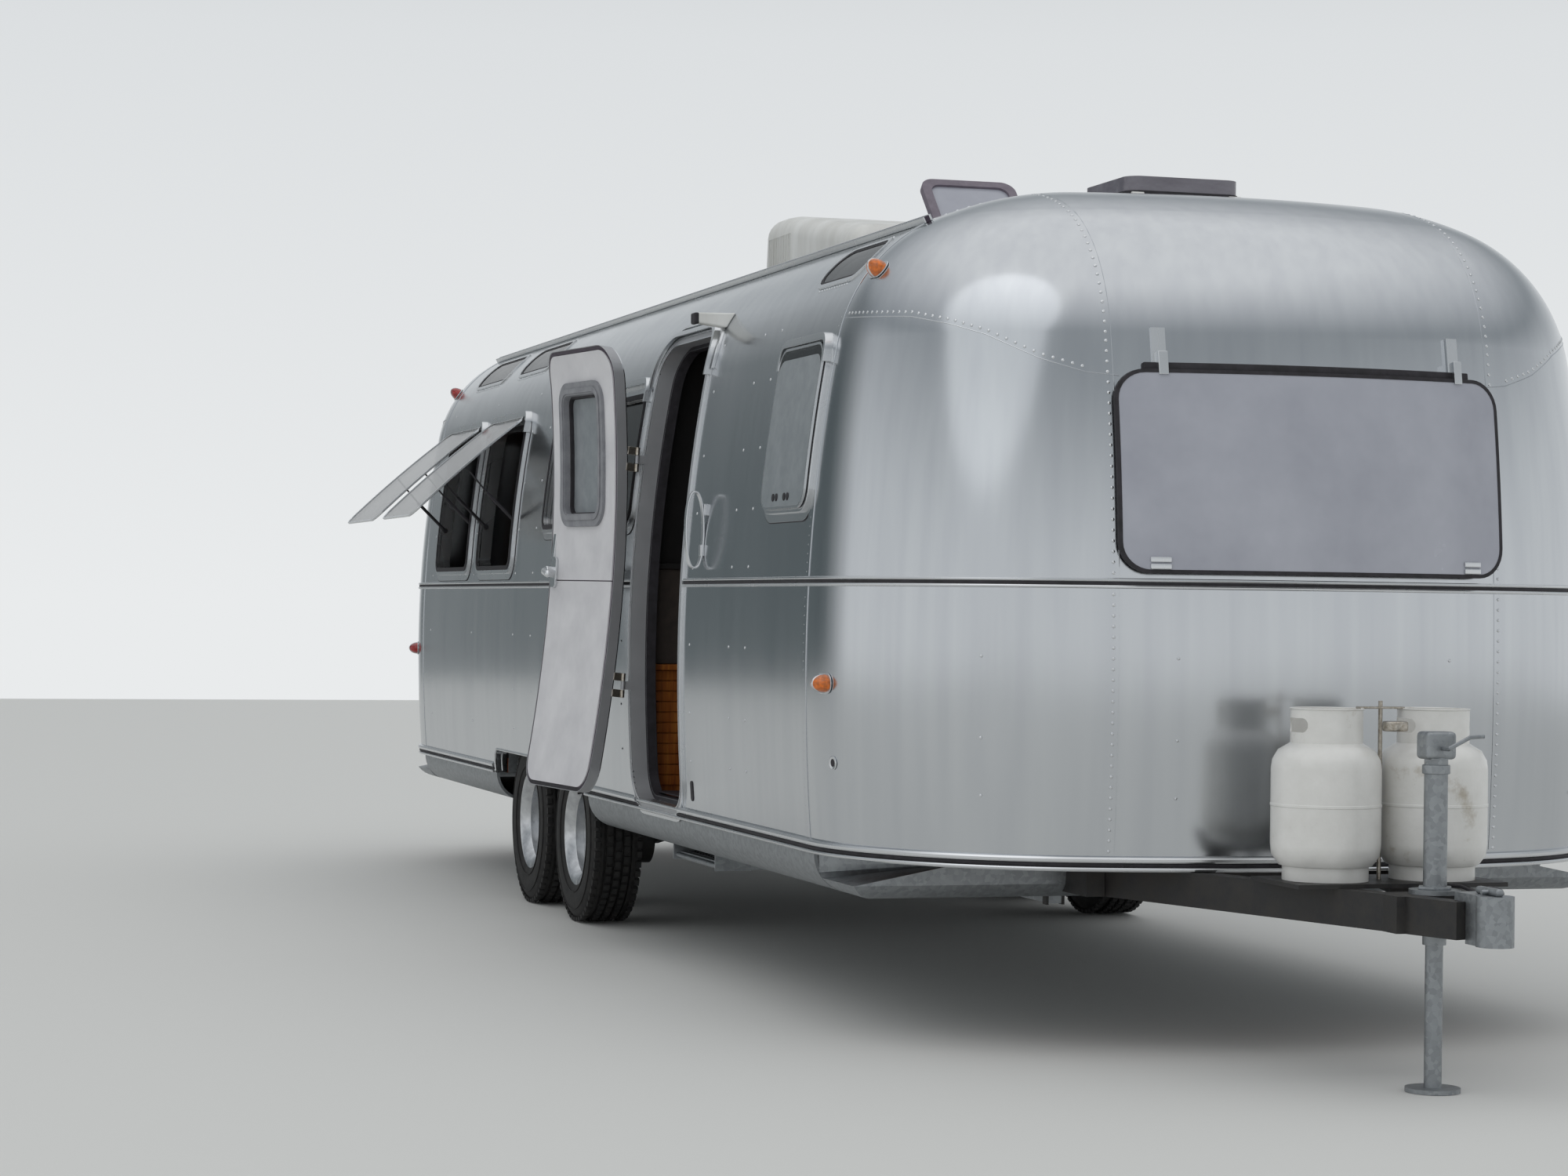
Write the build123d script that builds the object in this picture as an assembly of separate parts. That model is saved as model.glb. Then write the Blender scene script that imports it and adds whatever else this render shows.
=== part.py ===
from build123d import *
import math
import os

os.makedirs("parts", exist_ok=True)

# Travel caravan with a riveted aluminium body, round ends and two axles.
# X points forward to the hitch, Y to the road side, Z up. The origin is on the
# ground under the jack. The side with the entry door is the curb side, at -Y.
# All lengths are in millimetres and all angles in degrees.

# Reach of cutting shapes past what they cut
beyond = 200
side_reach = 300

# Body section
BODY_WIDTH = 2578
SIDE_RADIUS = 5500
LOWER_RADIUS = 6800
WIDEST_HEIGHT = 1120
RAIL_HEIGHT = 536
BELT_HEIGHT = 1370
SIDE_TOP_ANGLE = 10.3
CORNER_RADIUS = 540
GUTTER_ANGLE = 65
WALL = 50

# Body plan
STRAIGHT_LENGTH = 6450
CAP_CORNER_RADIUS = 840
CAP_NOSE_RADIUS = 2340
JACK_TO_SHELL = 700
BALL_TO_JACK = 330

# Floor, belly and frame
FLOOR_TOP = 600
FRAME_BELOW_SHELL = 0.3
FLOOR_INSET = 2
BELLY_BOTTOM = 414
BELLY_SHEET = 12
BELLY_INSET = 4
RAIL_INSET = 759
FRAME_RAIL_WIDTH = 60
FRAME_RAIL_DEPTH = 100
CROSS_MEMBER_WIDTH = 60
CROSS_MEMBER_INSET = 15
CROSS_OFF_WELL = 120
FRAME_PAST_SHELL = 420
FRAME_REAR_INSET = 60
DRAWBAR_OVERLAP = 300
DRAWBAR_TIP_HALF = 40
JACK_PLATE_LENGTH = 140
JACK_PLATE_WIDTH = 300

# Running gear
TYRE_RADIUS = 356
TYRE_WIDTH = 215
TYRE_SHOULDER = 40
TYRE_ROUND = 28
RIM_RADIUS = 205
RIM_INSET = 15
DISC_DEPTH = 20
HUB_CAP_DEPTH = 45
WHEEL_BACK = 60
WHEEL_INSET = 179
AXLE_SPACING = 860
AXLES_BEHIND_SEAM = 3855
HUB_RADIUS = 60
SPINDLE_RADIUS = 25
HUB_GAP = 0.5
WELL_LENGTH = 1750
WELL_TOP = 890
WELL_DEPTH = 449
WELL_CORNER = 60
WELL_OPENING_TOP = 645
TUB_SHEET = 12
TUB_OFF_WALL = 30
TUB_GAP = 1
AXLE_TUBE = 76
AXLE_AHEAD = 130
ARM_RADIUS = 42
ARM_WIDTH = 40
ARM_TO_WHEEL = 210
DRUM_RADIUS = 120
DRUM_GAP = 2

# Entry door
DOOR_BEHIND_SEAM = 1850
DOOR_WIDTH = 680
DOOR_BOTTOM = 574
DOOR_TOP = 2245
DOOR_CORNER = 110
DOOR_THICKNESS = 44
DOOR_OPEN_ANGLE = 172
DOOR_CLEARANCE = 6
DOOR_BAND_TOP = 45
DOOR_BAND_MARGIN = 90
FRAME_FACE = 26
FRAME_PROUD = 6
FRAME_DEPTH = 85
FRAME_GAP = 0.3
STOP_WIDTH = 16
STOP_GAP = 6
HINGE_STANDOFF = 20
HINGE_OFFSET = 4
HINGE_RADIUS = 8
HINGE_LENGTH = 90
HINGE_HEIGHTS = (991, 1828)
HINGE_PLATE = 20
HINGE_PLATE_HALF = 2
HINGE_PLATE_SINK = 1
HINGE_GAP = 1.2
DOOR_WINDOW_WIDTH = 370
DOOR_WINDOW_BOTTOM = 1610
DOOR_WINDOW_TOP = 2080
DOOR_WINDOW_CORNER = 50
DOOR_PANE_DEPTH = 12
HANDLE_HEIGHT = 1400
HANDLE_FROM_EDGE = 66
HANDLE_PLATE_WIDTH = 56
HANDLE_PLATE_HEIGHT = 120
HANDLE_PLATE_DEPTH = 12
HANDLE_GRIP_DEPTH = 34
HANDLE_GRIP_WIDTH = 28
HANDLE_GRIP_HEIGHT = 96
HANDLE_PULL_HEIGHT = 60

# Trim
TRIM_GAP = 0.2
RAIL_PROUD = 16
RAIL_LIFT = 3
RUB_RAIL_FACE = 46
BELT_FACE = 30
BELT_PROUD = 8
GUTTER_FACE = 26
GUTTER_PROUD = 22

# Windows, each by its centre behind the front seam, its width, bottom and top
WINDOW_CORNER = 60
FRAME_WIDTH = 30
WINDOW_PROUD = 14
PANE_DEPTH = 8
PANE_THICKNESS = 6
SASH_GAP = 0.5
SASH_PROUD = 18
SASH_RISE = 30
HOOD_PROUD = 28
HOOD_TOP = 60
HOOD_DROP = 35
HOOD_END = 18
SASH_OPEN_ANGLE = 42
SIDE_WINDOWS = (
    # name, centre behind the seam, width, bottom height, top height, angle of the curb side's
    # sash, or None where the curb side's pane is fixed
    ("front", 295, 460, 1600, 2085, 0),
    ("middle", 3040, 1510, 1597, 2085, None),
    ("bed", 4740, 730, 1435, 2070, SASH_OPEN_ANGLE),
    ("rear", 5695, 760, 1435, 2070, SASH_OPEN_ANGLE),
)
VISTA_ANGLE = 45
VISTA_HEIGHT = 170
VISTA_CORNER = 70
VISTA_PANE = 10
VISTAS = (
    # centre behind the seam, width
    (320, 440),
    (4770, 660),
    (5720, 680),
)

# Front and rear openings
GUARD_WIDTH = 1234
GUARD_BOTTOM = 1400
GUARD_TOP = 1994
GUARD_CORNER = 90
GUARD_STANDOFF = 24
GUARD_THICKNESS = 10
GUARD_RIM = 18
END_WINDOW_WIDTH = 1100
END_WINDOW_BOTTOM = 1460
END_WINDOW_TOP = 1934

# Roof equipment
AC_FRONT_BEHIND_SEAM = 2450
AC_REAR_BEHIND_SEAM = 3760
AC_WIDTH = 700
AC_HEIGHT = 324
AC_NOSE_HEIGHT = 184
AC_FLAT_LENGTH = 280
AC_LEAN = 40
AC_ROUND = 45
AC_PLAN_ROUND = 90
VENT_BASE_HEIGHT = 34
VENT_RIM = 30
LID_CLEARANCE = 0.5
LID_PIN_RADIUS = 7.5
LID_PIN_AHEAD = 8
LID_PIN_WIDTH = 40
LID_LUG_DROP = 2
REAR_LID_ANGLE = 45
VENTS = (
    # name, centre behind the seam, offset to the road side, size, lid thickness, lid bevel, lid angle
    ("front", 360, 20, 400, 66, 30, 0),
    ("rear", 2130, 0, 380, 30, 12, REAR_LID_ANGLE),
)

# Tongue
JACK_RADIUS = 32
JACK_LEG_RADIUS = 24
JACK_LEG_GAP = 0.5
JACK_TRAVEL = 300
JACK_FOOT_RADIUS = 75
JACK_FOOT_THICKNESS = 12
JACK_FLANGE_RADIUS = 70
JACK_TOP = 950
JACK_HEAD = 60
JACK_BELOW_FRAME = 38
JACK_SPARE = 20
COUPLER_HALF_WIDTH = 38
COUPLER_NOSE_RADIUS = 50
COUPLER_SHEET = 22
COUPLER_BALL_RADIUS = 29.5
COUPLER_SOCKET_DEPTH = 44
COUPLER_BACK = 60
COUPLER_OVERLAP = 10
COUPLER_GAP = 1
BALL_HEIGHT = 455
BALL_ABOVE_RIM = 30
BOTTLE_RADIUS = 155
BOTTLE_HEIGHT = 480
BOTTLE_ROUND = 60
BOTTLE_SPACING = 330
BOTTLE_BEHIND_JACK = 330
RACK_THICKNESS = 12

# Stands and step
STAND_LENGTH = 290
STAND_PAST_PIN = 12
STAND_WIDTH = 44
STAND_THICKNESS = 24
STAND_PIN_RADIUS = 7
STAND_PIN_DROP = 37
STAND_INTO_CAP = 150
EAR_THICKNESS = 8
EAR_HALF_LENGTH = 16
PIN_GAP = 0.3
STEP_WIDTH = 560
STEP_DEPTH = 240
STEP_THICKNESS = 26
STEP_PIN_RADIUS = 8
STEP_PIN_INSET = 169
STEP_DROP = 45
STEP_SIDE_GAP = 0.5
STEP_PLATE = 8
BRACKET_SHEET = 6
BRACKET_INSET = 60

# Bumper, lamps, grab handle and galley
BUMPER_BEHIND_SHELL = 90
BUMPER_DEPTH = 100
BUMPER_DROP = 1
BUMPER_INSET = 389
LENS_RADIUS = 30
LENS_DEPTH = 20
LENS_ROUND = 12
MARKERS = (
    # place past the start of the round end, angle on the body section
    (141, -0.5),
    (83, 36),
)
TAIL_LAMP_TURN = 46
TAIL_LAMP_SPAN = 9
TAIL_LAMP_BOTTOM = 800
TAIL_LAMP_TOP = 1080
TAIL_LAMP_DEPTH = 30
PORCH_BEHIND_SEAM = 1495
PORCH_WIDTH = 60
PORCH_REACH = 140
PORCH_BOTTOM = 2258
PORCH_TOP = 2322
GRAB_BEHIND_SEAM = 1265
GRAB_BOTTOM = 1420
GRAB_TOP = 1680
GRAB_REACH = 70
GRAB_BAND = 30
GRAB_THICKNESS = 9
GALLEY_FROM = 2240
GALLEY_TO = 4300
GALLEY_DEPTH = 580
GALLEY_TOP = 1430
GALLEY_OFF_WALL = 8
GALLEY_OFF_WELL = 5

# Places worked out from the sizes above
half_width = BODY_WIDTH / 2
corner_axis_y = half_width - CAP_CORNER_RADIUS
nose_angle = math.degrees(math.asin(corner_axis_y / (CAP_NOSE_RADIUS - CAP_CORNER_RADIUS)))
nose_axis_back = (CAP_NOSE_RADIUS - CAP_CORNER_RADIUS) * math.cos(math.radians(nose_angle))
cap_depth = CAP_NOSE_RADIUS - nose_axis_back
shell_front = -JACK_TO_SHELL
seam_front = shell_front - cap_depth
seam_rear = seam_front - STRAIGHT_LENGTH
shell_rear = seam_rear - cap_depth
axle_centre = seam_front - AXLES_BEHIND_SEAM
well_from = axle_centre - WELL_LENGTH / 2
well_to = axle_centre + WELL_LENGTH / 2
frame_top = RAIL_HEIGHT - FRAME_BELOW_SHELL
frame_low = frame_top - FRAME_RAIL_DEPTH
frame_front = shell_front - FRAME_PAST_SHELL
frame_rear = shell_rear + FRAME_REAR_INSET
rail_y = half_width - RAIL_INSET
well_inner = half_width - WELL_DEPTH
step_pin_y = STEP_PIN_INSET - half_width


def sine(angle):
    return math.sin(math.radians(angle))


def cosine(angle):
    return math.cos(math.radians(angle))


# The body section on the curb side: tangent arcs named by the angle of their
# outward normal above the level, so an angle names a place on the section
lower_centre = (-half_width + LOWER_RADIUS, WIDEST_HEIGHT)
side_centre = (-half_width + SIDE_RADIUS, WIDEST_HEIGHT)
side_top_y = side_centre[0] - SIDE_RADIUS * cosine(SIDE_TOP_ANGLE)
side_top_z = side_centre[1] + SIDE_RADIUS * sine(SIDE_TOP_ANGLE)
corner_centre = (
    side_top_y + CORNER_RADIUS * cosine(SIDE_TOP_ANGLE),
    side_top_z - CORNER_RADIUS * sine(SIDE_TOP_ANGLE),
)
gutter_y = corner_centre[0] - CORNER_RADIUS * cosine(GUTTER_ANGLE)
gutter_z = corner_centre[1] + CORNER_RADIUS * sine(GUTTER_ANGLE)
crown_radius = (-corner_axis_y - gutter_y) / cosine(GUTTER_ANGLE)
crown_centre = (-corner_axis_y, gutter_z - crown_radius * sine(GUTTER_ANGLE))
roof_top = crown_centre[1] + crown_radius
section_arcs = (
    # centre, radius, first angle, last angle
    (lower_centre, LOWER_RADIUS, -90, 0),
    (side_centre, SIDE_RADIUS, 0, SIDE_TOP_ANGLE),
    (corner_centre, CORNER_RADIUS, SIDE_TOP_ANGLE, GUTTER_ANGLE),
    (crown_centre, crown_radius, GUTTER_ANGLE, 90),
)


def side_angle(height, proud=0):
    for centre, radius, first, last in section_arcs:
        rise = (height - centre[1]) / (radius + proud)
        if rise <= sine(last):
            return math.degrees(math.asin(rise))


def arc_point(centre, radius, angle):
    return (0, centre[0] - radius * cosine(angle), centre[1] + radius * sine(angle))


def section_point(angle, proud=0):
    for centre, radius, first, last in section_arcs:
        if first <= angle <= last:
            return arc_point(centre, radius + proud, angle)


def section_edges(start, stop, proud):
    edges = []
    for centre, radius, first, last in section_arcs:
        low = max(start, first)
        high = min(stop, last)
        if high - low > 1e-6:
            ends = [arc_point(centre, radius + proud, angle) for angle in (low, (low + high) / 2, high)]
            edges.append(ThreePointArc(*ends))
    return edges


def band(start, stop, proud, depth):
    """A face across the wall from one angle to another, at X = 0."""
    outer = section_edges(start, stop, proud)
    inner = section_edges(start, stop, -depth)
    ends = [
        Line(outer[0] @ 0, inner[0] @ 0),
        Line(outer[-1] @ 1, inner[-1] @ 1),
    ]
    return make_face(Wire(outer + inner + ends))


def straight(face, x_from=None, x_to=None):
    """A band drawn out along the straight body, or between two places."""
    x_from = seam_rear if x_from is None else x_from
    x_to = seam_front if x_to is None else x_to
    return Pos(x_from, 0, 0) * extrude(face, amount=x_to - x_from, dir=(1, 0, 0))


def mirrored(shape):
    return mirror(shape, about=Plane.XZ)


def both_sides(shape):
    return Compound([shape, mirrored(shape)])


corner_axis = Axis((0, -corner_axis_y, 0), (0, 0, 1))
nose_axis = Axis((-nose_axis_back, 0, 0), (0, 0, 1))


def cap(face):
    """A band swept round the front end: a curb corner, the nose and a road corner."""
    corner = revolve(face, axis=corner_axis, revolution_arc=90 - nose_angle)
    turned = face.rotate(corner_axis, 90 - nose_angle)
    nose = revolve(turned, axis=nose_axis, revolution_arc=2 * nose_angle)
    return corner + nose + mirrored(corner)


def nose_plan(inset):
    """The plan of the front end, drawn in from the outside of the body."""
    corner = CAP_CORNER_RADIUS - inset
    nose = CAP_NOSE_RADIUS - inset
    side = half_width - inset
    turn = 90 - nose_angle
    edges = []
    for side_sign in (-1, 1):
        points = []
        for angle in (0, turn / 2, turn):
            points.append((corner * sine(angle), side_sign * (corner_axis_y + corner * cosine(angle))))
        edges.append(ThreePointArc(*points))
    shoulder = (nose * cosine(nose_angle) - nose_axis_back, nose * sine(nose_angle))
    edges.append(ThreePointArc((shoulder[0], -shoulder[1]), (nose - nose_axis_back, 0), shoulder))
    edges.append(Line((0, -side), (0, side)))
    return make_face(Wire(edges))


def at_front(shape):
    return Pos(seam_front, 0, 0) * shape


def at_rear(shape):
    return Pos(seam_rear, 0, 0) * mirror(shape, about=Plane.YZ)


def rounded_prism(x_centre, width, bottom, top, corner, y_from, y_to):
    """A rounded rectangle seen from the side, drawn out across the body."""
    plane = Plane(origin=(x_centre, y_from, (bottom + top) / 2), x_dir=(1, 0, 0), z_dir=(0, 1, 0))
    outline = plane * RectangleRounded(width, top - bottom, corner)
    return extrude(outline, amount=y_to - y_from)


def curb_prism(x_centre, width, bottom, top, corner, depth=side_reach):
    return rounded_prism(x_centre, width, bottom, top, corner, -half_width - side_reach, -half_width + depth)


def box(x_from, x_to, y_from, y_to, z_from, z_to):
    size = (x_to - x_from, y_to - y_from, z_to - z_from)
    return Pos(x_from, y_from, z_from) * Box(*size, align=(Align.MIN, Align.MIN, Align.MIN))


def side_box(x_from, x_to, inner, outer, z_from, z_to):
    """A box on the curb side between two distances from the middle of the body."""
    return box(x_from, x_to, -outer, -inner, z_from, z_to)


def post(x, y, z_from, z_to, radius):
    return Pos(x, y, z_from) * Cylinder(radius, z_to - z_from, align=(Align.CENTER, Align.CENTER, Align.MIN))


def cross_bar(x, z, radius, y_from, y_to):
    """A round bar across the body."""
    bar = Rot(-90, 0, 0) * Cylinder(radius, y_to - y_from, align=(Align.CENTER, Align.CENTER, Align.MIN))
    return Pos(x, y_from, z) * bar


well_block = side_box(well_from, well_to, well_inner, half_width + beyond, 0, WELL_TOP)
opening_block = rounded_prism(
    axle_centre, WELL_LENGTH, -beyond, WELL_OPENING_TOP, WELL_CORNER, -half_width - beyond, 0
)

door_x = seam_front - DOOR_BEHIND_SEAM
door_mid_angle = side_angle((DOOR_BOTTOM + DOOR_TOP) / 2)
leaf_rear = door_x - DOOR_WIDTH / 2 + DOOR_CLEARANCE
leaf_front = door_x + DOOR_WIDTH / 2 - DOOR_CLEARANCE
hinge_point = section_point(door_mid_angle, HINGE_STANDOFF)
hinge_axis = Axis(
    (leaf_rear - HINGE_OFFSET, hinge_point[1], hinge_point[2]),
    (0, sine(door_mid_angle), cosine(door_mid_angle)),
)


def door_outline(grow, depth=side_reach):
    return curb_prism(
        door_x,
        DOOR_WIDTH + 2 * grow,
        DOOR_BOTTOM - grow,
        DOOR_TOP + grow,
        DOOR_CORNER + grow,
        depth,
    )


def door_band(proud, depth):
    low = side_angle(DOOR_BOTTOM - DOOR_BAND_MARGIN)
    return straight(band(low, DOOR_BAND_TOP, proud, depth), door_x - DOOR_WIDTH, door_x + DOOR_WIDTH)


def window_outline(window, grow):
    name, behind, width, bottom, top, sash_angle = window
    x = seam_front - behind
    return curb_prism(x, width + 2 * grow, bottom - grow, top + grow, WINDOW_CORNER + grow)


def window_band(window, proud, depth):
    name, behind, width, bottom, top, sash_angle = window
    x = seam_front - behind
    low = side_angle(bottom - 2 * FRAME_WIDTH)
    return straight(band(low, DOOR_BAND_TOP, proud, depth), x - width, x + width)


def vista_outline(vista, grow):
    behind, width = vista
    start = section_point(VISTA_ANGLE, beyond)
    plane = Plane(
        origin=(seam_front - behind, start[1], start[2]),
        x_dir=(1, 0, 0),
        z_dir=(0, cosine(VISTA_ANGLE), -sine(VISTA_ANGLE)),
    )
    outline = plane * RectangleRounded(width + 2 * grow, VISTA_HEIGHT + 2 * grow, VISTA_CORNER + grow)
    return extrude(outline, amount=2 * beyond)


parts = {}

# Shell panels
rail_angle = side_angle(RAIL_HEIGHT)
belt_angle = side_angle(BELT_HEIGHT)
side_band_lower = band(rail_angle, belt_angle, 0, WALL)
side_band_upper = band(belt_angle, GUTTER_ANGLE, 0, WALL)
crown_band = band(GUTTER_ANGLE, 90, 0, WALL)

wall_lower = straight(side_band_lower) - opening_block
wall_upper = straight(side_band_upper)
for window in SIDE_WINDOWS:
    wall_upper -= window_outline(window, 0)
for vista in VISTAS:
    wall_upper -= vista_outline(vista, 0)
parts["wall_road_lower"] = mirrored(wall_lower)
parts["wall_road_upper"] = mirrored(wall_upper)
parts["wall_curb_lower"] = wall_lower - door_outline(FRAME_FACE)
parts["wall_curb_upper"] = wall_upper - door_outline(FRAME_FACE)

crown = straight(crown_band)
roof_plate = box(seam_rear, seam_front, -corner_axis_y, corner_axis_y, roof_top - WALL, roof_top)
roof = crown + roof_plate + mirrored(crown)
for name, behind, offset, size, lid_thickness, bevel, angle in VENTS:
    hole = size - 2 * VENT_RIM
    roof -= Pos(seam_front - behind, offset, roof_top) * Box(hole, hole, 3 * WALL)
parts["roof"] = roof


def end_outline(width, bottom, top, corner):
    plane = Plane(origin=(0, 0, (bottom + top) / 2), x_dir=(0, 1, 0), z_dir=(1, 0, 0))
    return extrude(plane * RectangleRounded(width, top - bottom, corner), amount=cap_depth + beyond)


dome_edges = [
    Line((0, -corner_axis_y), (0, corner_axis_y)),
    ThreePointArc((0, corner_axis_y), (cap_depth - CAP_CORNER_RADIUS, 0), (0, -corner_axis_y)),
]
dome_plate = Pos(0, 0, roof_top - WALL) * extrude(make_face(Wire(dome_edges)), amount=WALL)
cap_lower = cap(side_band_lower)
cap_upper = cap(side_band_upper) + cap(crown_band) + dome_plate
cap_upper -= end_outline(END_WINDOW_WIDTH, END_WINDOW_BOTTOM, END_WINDOW_TOP, WINDOW_CORNER)
parts["front_end_lower"] = at_front(cap_lower)
parts["front_end_upper"] = at_front(cap_upper)
parts["rear_end_lower"] = at_rear(cap_lower)
parts["rear_end_upper"] = at_rear(cap_upper)


# Trim that goes round the body
def round_body(bottom, top, proud):
    face = band(side_angle(bottom), side_angle(top), proud, -TRIM_GAP)
    side = straight(face)
    end = cap(face)
    return side + mirrored(side) + at_front(end) + at_rear(end)


rub_rail = round_body(RAIL_HEIGHT + RAIL_LIFT, RAIL_HEIGHT + RUB_RAIL_FACE, RAIL_PROUD)
rub_rail -= opening_block
rub_rail -= mirrored(opening_block)
parts["rub_rail"] = rub_rail - door_outline(FRAME_FACE)
belt = round_body(BELT_HEIGHT - BELT_FACE / 2, BELT_HEIGHT + BELT_FACE / 2, BELT_PROUD)
parts["belt_trim"] = belt - door_outline(FRAME_FACE)

gutter_span = math.degrees(GUTTER_FACE / CORNER_RADIUS)
gutter = straight(band(GUTTER_ANGLE - gutter_span, GUTTER_ANGLE, GUTTER_PROUD, -TRIM_GAP))
parts["roof_rails"] = both_sides(gutter)

# Floor and belly
inner_side = -section_point(rail_angle, -WALL)[1] - FLOOR_INSET
floor_height = FLOOR_TOP - RAIL_HEIGHT
floor_body = box(seam_rear, seam_front, -inner_side, inner_side, RAIL_HEIGHT, FLOOR_TOP)
floor_nose = Pos(0, 0, RAIL_HEIGHT) * extrude(nose_plan(half_width - inner_side), amount=floor_height)
floor = floor_body + at_front(floor_nose) + at_rear(floor_nose)
floor -= well_block
floor -= mirrored(well_block)
frame_inside = half_width + section_point(rail_angle, -FRAME_DEPTH)[1]
parts["floor"] = floor - door_outline(FRAME_FACE, frame_inside + FLOOR_INSET)

belly_side = -section_point(rail_angle)[1] - BELLY_INSET
belly_top = RAIL_HEIGHT - FRAME_BELOW_SHELL


def belly_section(inset):
    """The belly outline on both sides with its corners rounded under."""
    radius = belly_top - BELLY_BOTTOM - inset
    side = belly_side - inset
    low = BELLY_BOTTOM + inset
    bow = radius * (1 - sine(45))
    left = ThreePointArc((0, -side, belly_top), (0, -side + bow, low + bow), (0, -side + radius, low))
    right = ThreePointArc((0, side - radius, low), (0, side - bow, low + bow), (0, side, belly_top))
    return left, Line(left @ 1, right @ 0), right


outer_left, outer_flat, outer_right = belly_section(0)
inner_left, inner_flat, inner_right = belly_section(BELLY_SHEET)
belly_edges = [
    outer_left,
    outer_flat,
    outer_right,
    Line(outer_right @ 1, inner_right @ 1),
    inner_right,
    inner_flat,
    inner_left,
    Line(inner_left @ 0, outer_left @ 0),
]
belly = straight(make_face(Wire(belly_edges)))
belly -= well_block
belly -= mirrored(well_block)
parts["belly_pan"] = belly

tub_inner = well_inner + FRAME_GAP
tub_outer = half_width - WALL - TUB_OFF_WALL
tub_from = well_from + TUB_GAP
tub_to = well_to - TUB_GAP
tub = side_box(tub_from, tub_to, tub_inner, tub_outer, RAIL_HEIGHT, WELL_TOP)
tub -= side_box(
    tub_from + TUB_SHEET,
    tub_to - TUB_SHEET,
    tub_inner + TUB_SHEET,
    half_width,
    0,
    WELL_TOP - TUB_SHEET,
)
parts["wheel_tubs"] = both_sides(tub)

# Frame with its drawbar
half_rail = FRAME_RAIL_WIDTH / 2
rail = box(frame_rear, frame_front, rail_y - half_rail, rail_y + half_rail, frame_low, frame_top)
frame = rail + mirrored(rail)
tongue_tip = BALL_TO_JACK - 2 * COUPLER_NOSE_RADIUS + COUPLER_OVERLAP
drawbar_start = Vector(frame_front - DRAWBAR_OVERLAP, rail_y + half_rail, 0)
drawbar_stop = Vector(tongue_tip, DRAWBAR_TIP_HALF, 0)
run = (drawbar_stop - drawbar_start).normalized()
offset = Vector(-run.Y, run.X, 0) * half_rail
drawbar_ends = (drawbar_start + offset, drawbar_stop + offset, drawbar_stop - offset, drawbar_start - offset)
drawbar_face = make_face(Polyline(*[(end.X, end.Y) for end in drawbar_ends], close=True))
drawbar = Pos(0, 0, frame_low) * extrude(drawbar_face, amount=FRAME_RAIL_DEPTH)
frame += drawbar
frame += mirrored(drawbar)
cross_places = (
    frame_rear + CROSS_MEMBER_WIDTH / 2,
    well_from - CROSS_OFF_WELL,
    axle_centre,
    well_to + CROSS_OFF_WELL,
    door_x,
    frame_front - CROSS_MEMBER_WIDTH,
)
for place in cross_places:
    frame += box(
        place - CROSS_MEMBER_WIDTH / 2,
        place + CROSS_MEMBER_WIDTH / 2,
        -rail_y,
        rail_y,
        frame_low + CROSS_MEMBER_INSET,
        frame_top - CROSS_MEMBER_INSET,
    )
frame += Pos(0, 0, (frame_low + frame_top) / 2) * Box(JACK_PLATE_LENGTH, JACK_PLATE_WIDTH, FRAME_RAIL_DEPTH)
frame -= post(0, 0, 0, FLOOR_TOP, JACK_RADIUS + JACK_LEG_GAP)

# Coupler with its ball socket
coupler_low = BALL_HEIGHT - BALL_ABOVE_RIM
coupler_top = frame_top + COUPLER_SHEET
half_coupler = COUPLER_HALF_WIDTH
coupler_rear = tongue_tip + COUPLER_GAP
coupler = box(coupler_rear, BALL_TO_JACK, -half_coupler, half_coupler, coupler_low, coupler_top)
coupler += post(BALL_TO_JACK, 0, coupler_low, coupler_top, COUPLER_NOSE_RADIUS)
coupler += box(tongue_tip - COUPLER_BACK, coupler_rear, -half_coupler, half_coupler, frame_top, coupler_top)
coupler -= post(BALL_TO_JACK, 0, 0, coupler_low + COUPLER_SOCKET_DEPTH, COUPLER_BALL_RADIUS)
parts["coupler"] = coupler

# Jack
jack_low = frame_low - JACK_BELOW_FRAME
jack = post(0, 0, jack_low, JACK_TOP, JACK_RADIUS)
jack += post(0, 0, frame_top, frame_top + RACK_THICKNESS, JACK_FLANGE_RADIUS)
jack += Pos(0, 0, JACK_TOP - JACK_HEAD / 3) * Box(JACK_HEAD, JACK_HEAD, JACK_HEAD)
jack -= post(0, 0, 0, JACK_TOP - JACK_HEAD, JACK_LEG_RADIUS + JACK_LEG_GAP)
parts["jack_housing"] = jack
leg_top = JACK_TOP - JACK_HEAD - JACK_TRAVEL - JACK_SPARE
leg = post(0, 0, 0, leg_top, JACK_LEG_RADIUS)
leg += post(0, 0, 0, JACK_FOOT_THICKNESS, JACK_FOOT_RADIUS)
parts["jack_leg"] = leg

# Gas bottles on their rack
rack_x = -BOTTLE_BEHIND_JACK
rack_top = frame_top + RACK_THICKNESS
rack_half = BOTTLE_SPACING / 2 + BOTTLE_RADIUS
parts["bottle_rack"] = box(
    rack_x - BOTTLE_RADIUS, rack_x + BOTTLE_RADIUS, -rack_half, rack_half, frame_top, rack_top
)
bottle = post(rack_x, -BOTTLE_SPACING / 2, rack_top, rack_top + BOTTLE_HEIGHT, BOTTLE_RADIUS)
bottle = fillet(bottle.edges().filter_by(GeomType.CIRCLE), BOTTLE_ROUND)
parts["gas_bottles"] = both_sides(bottle)

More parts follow.
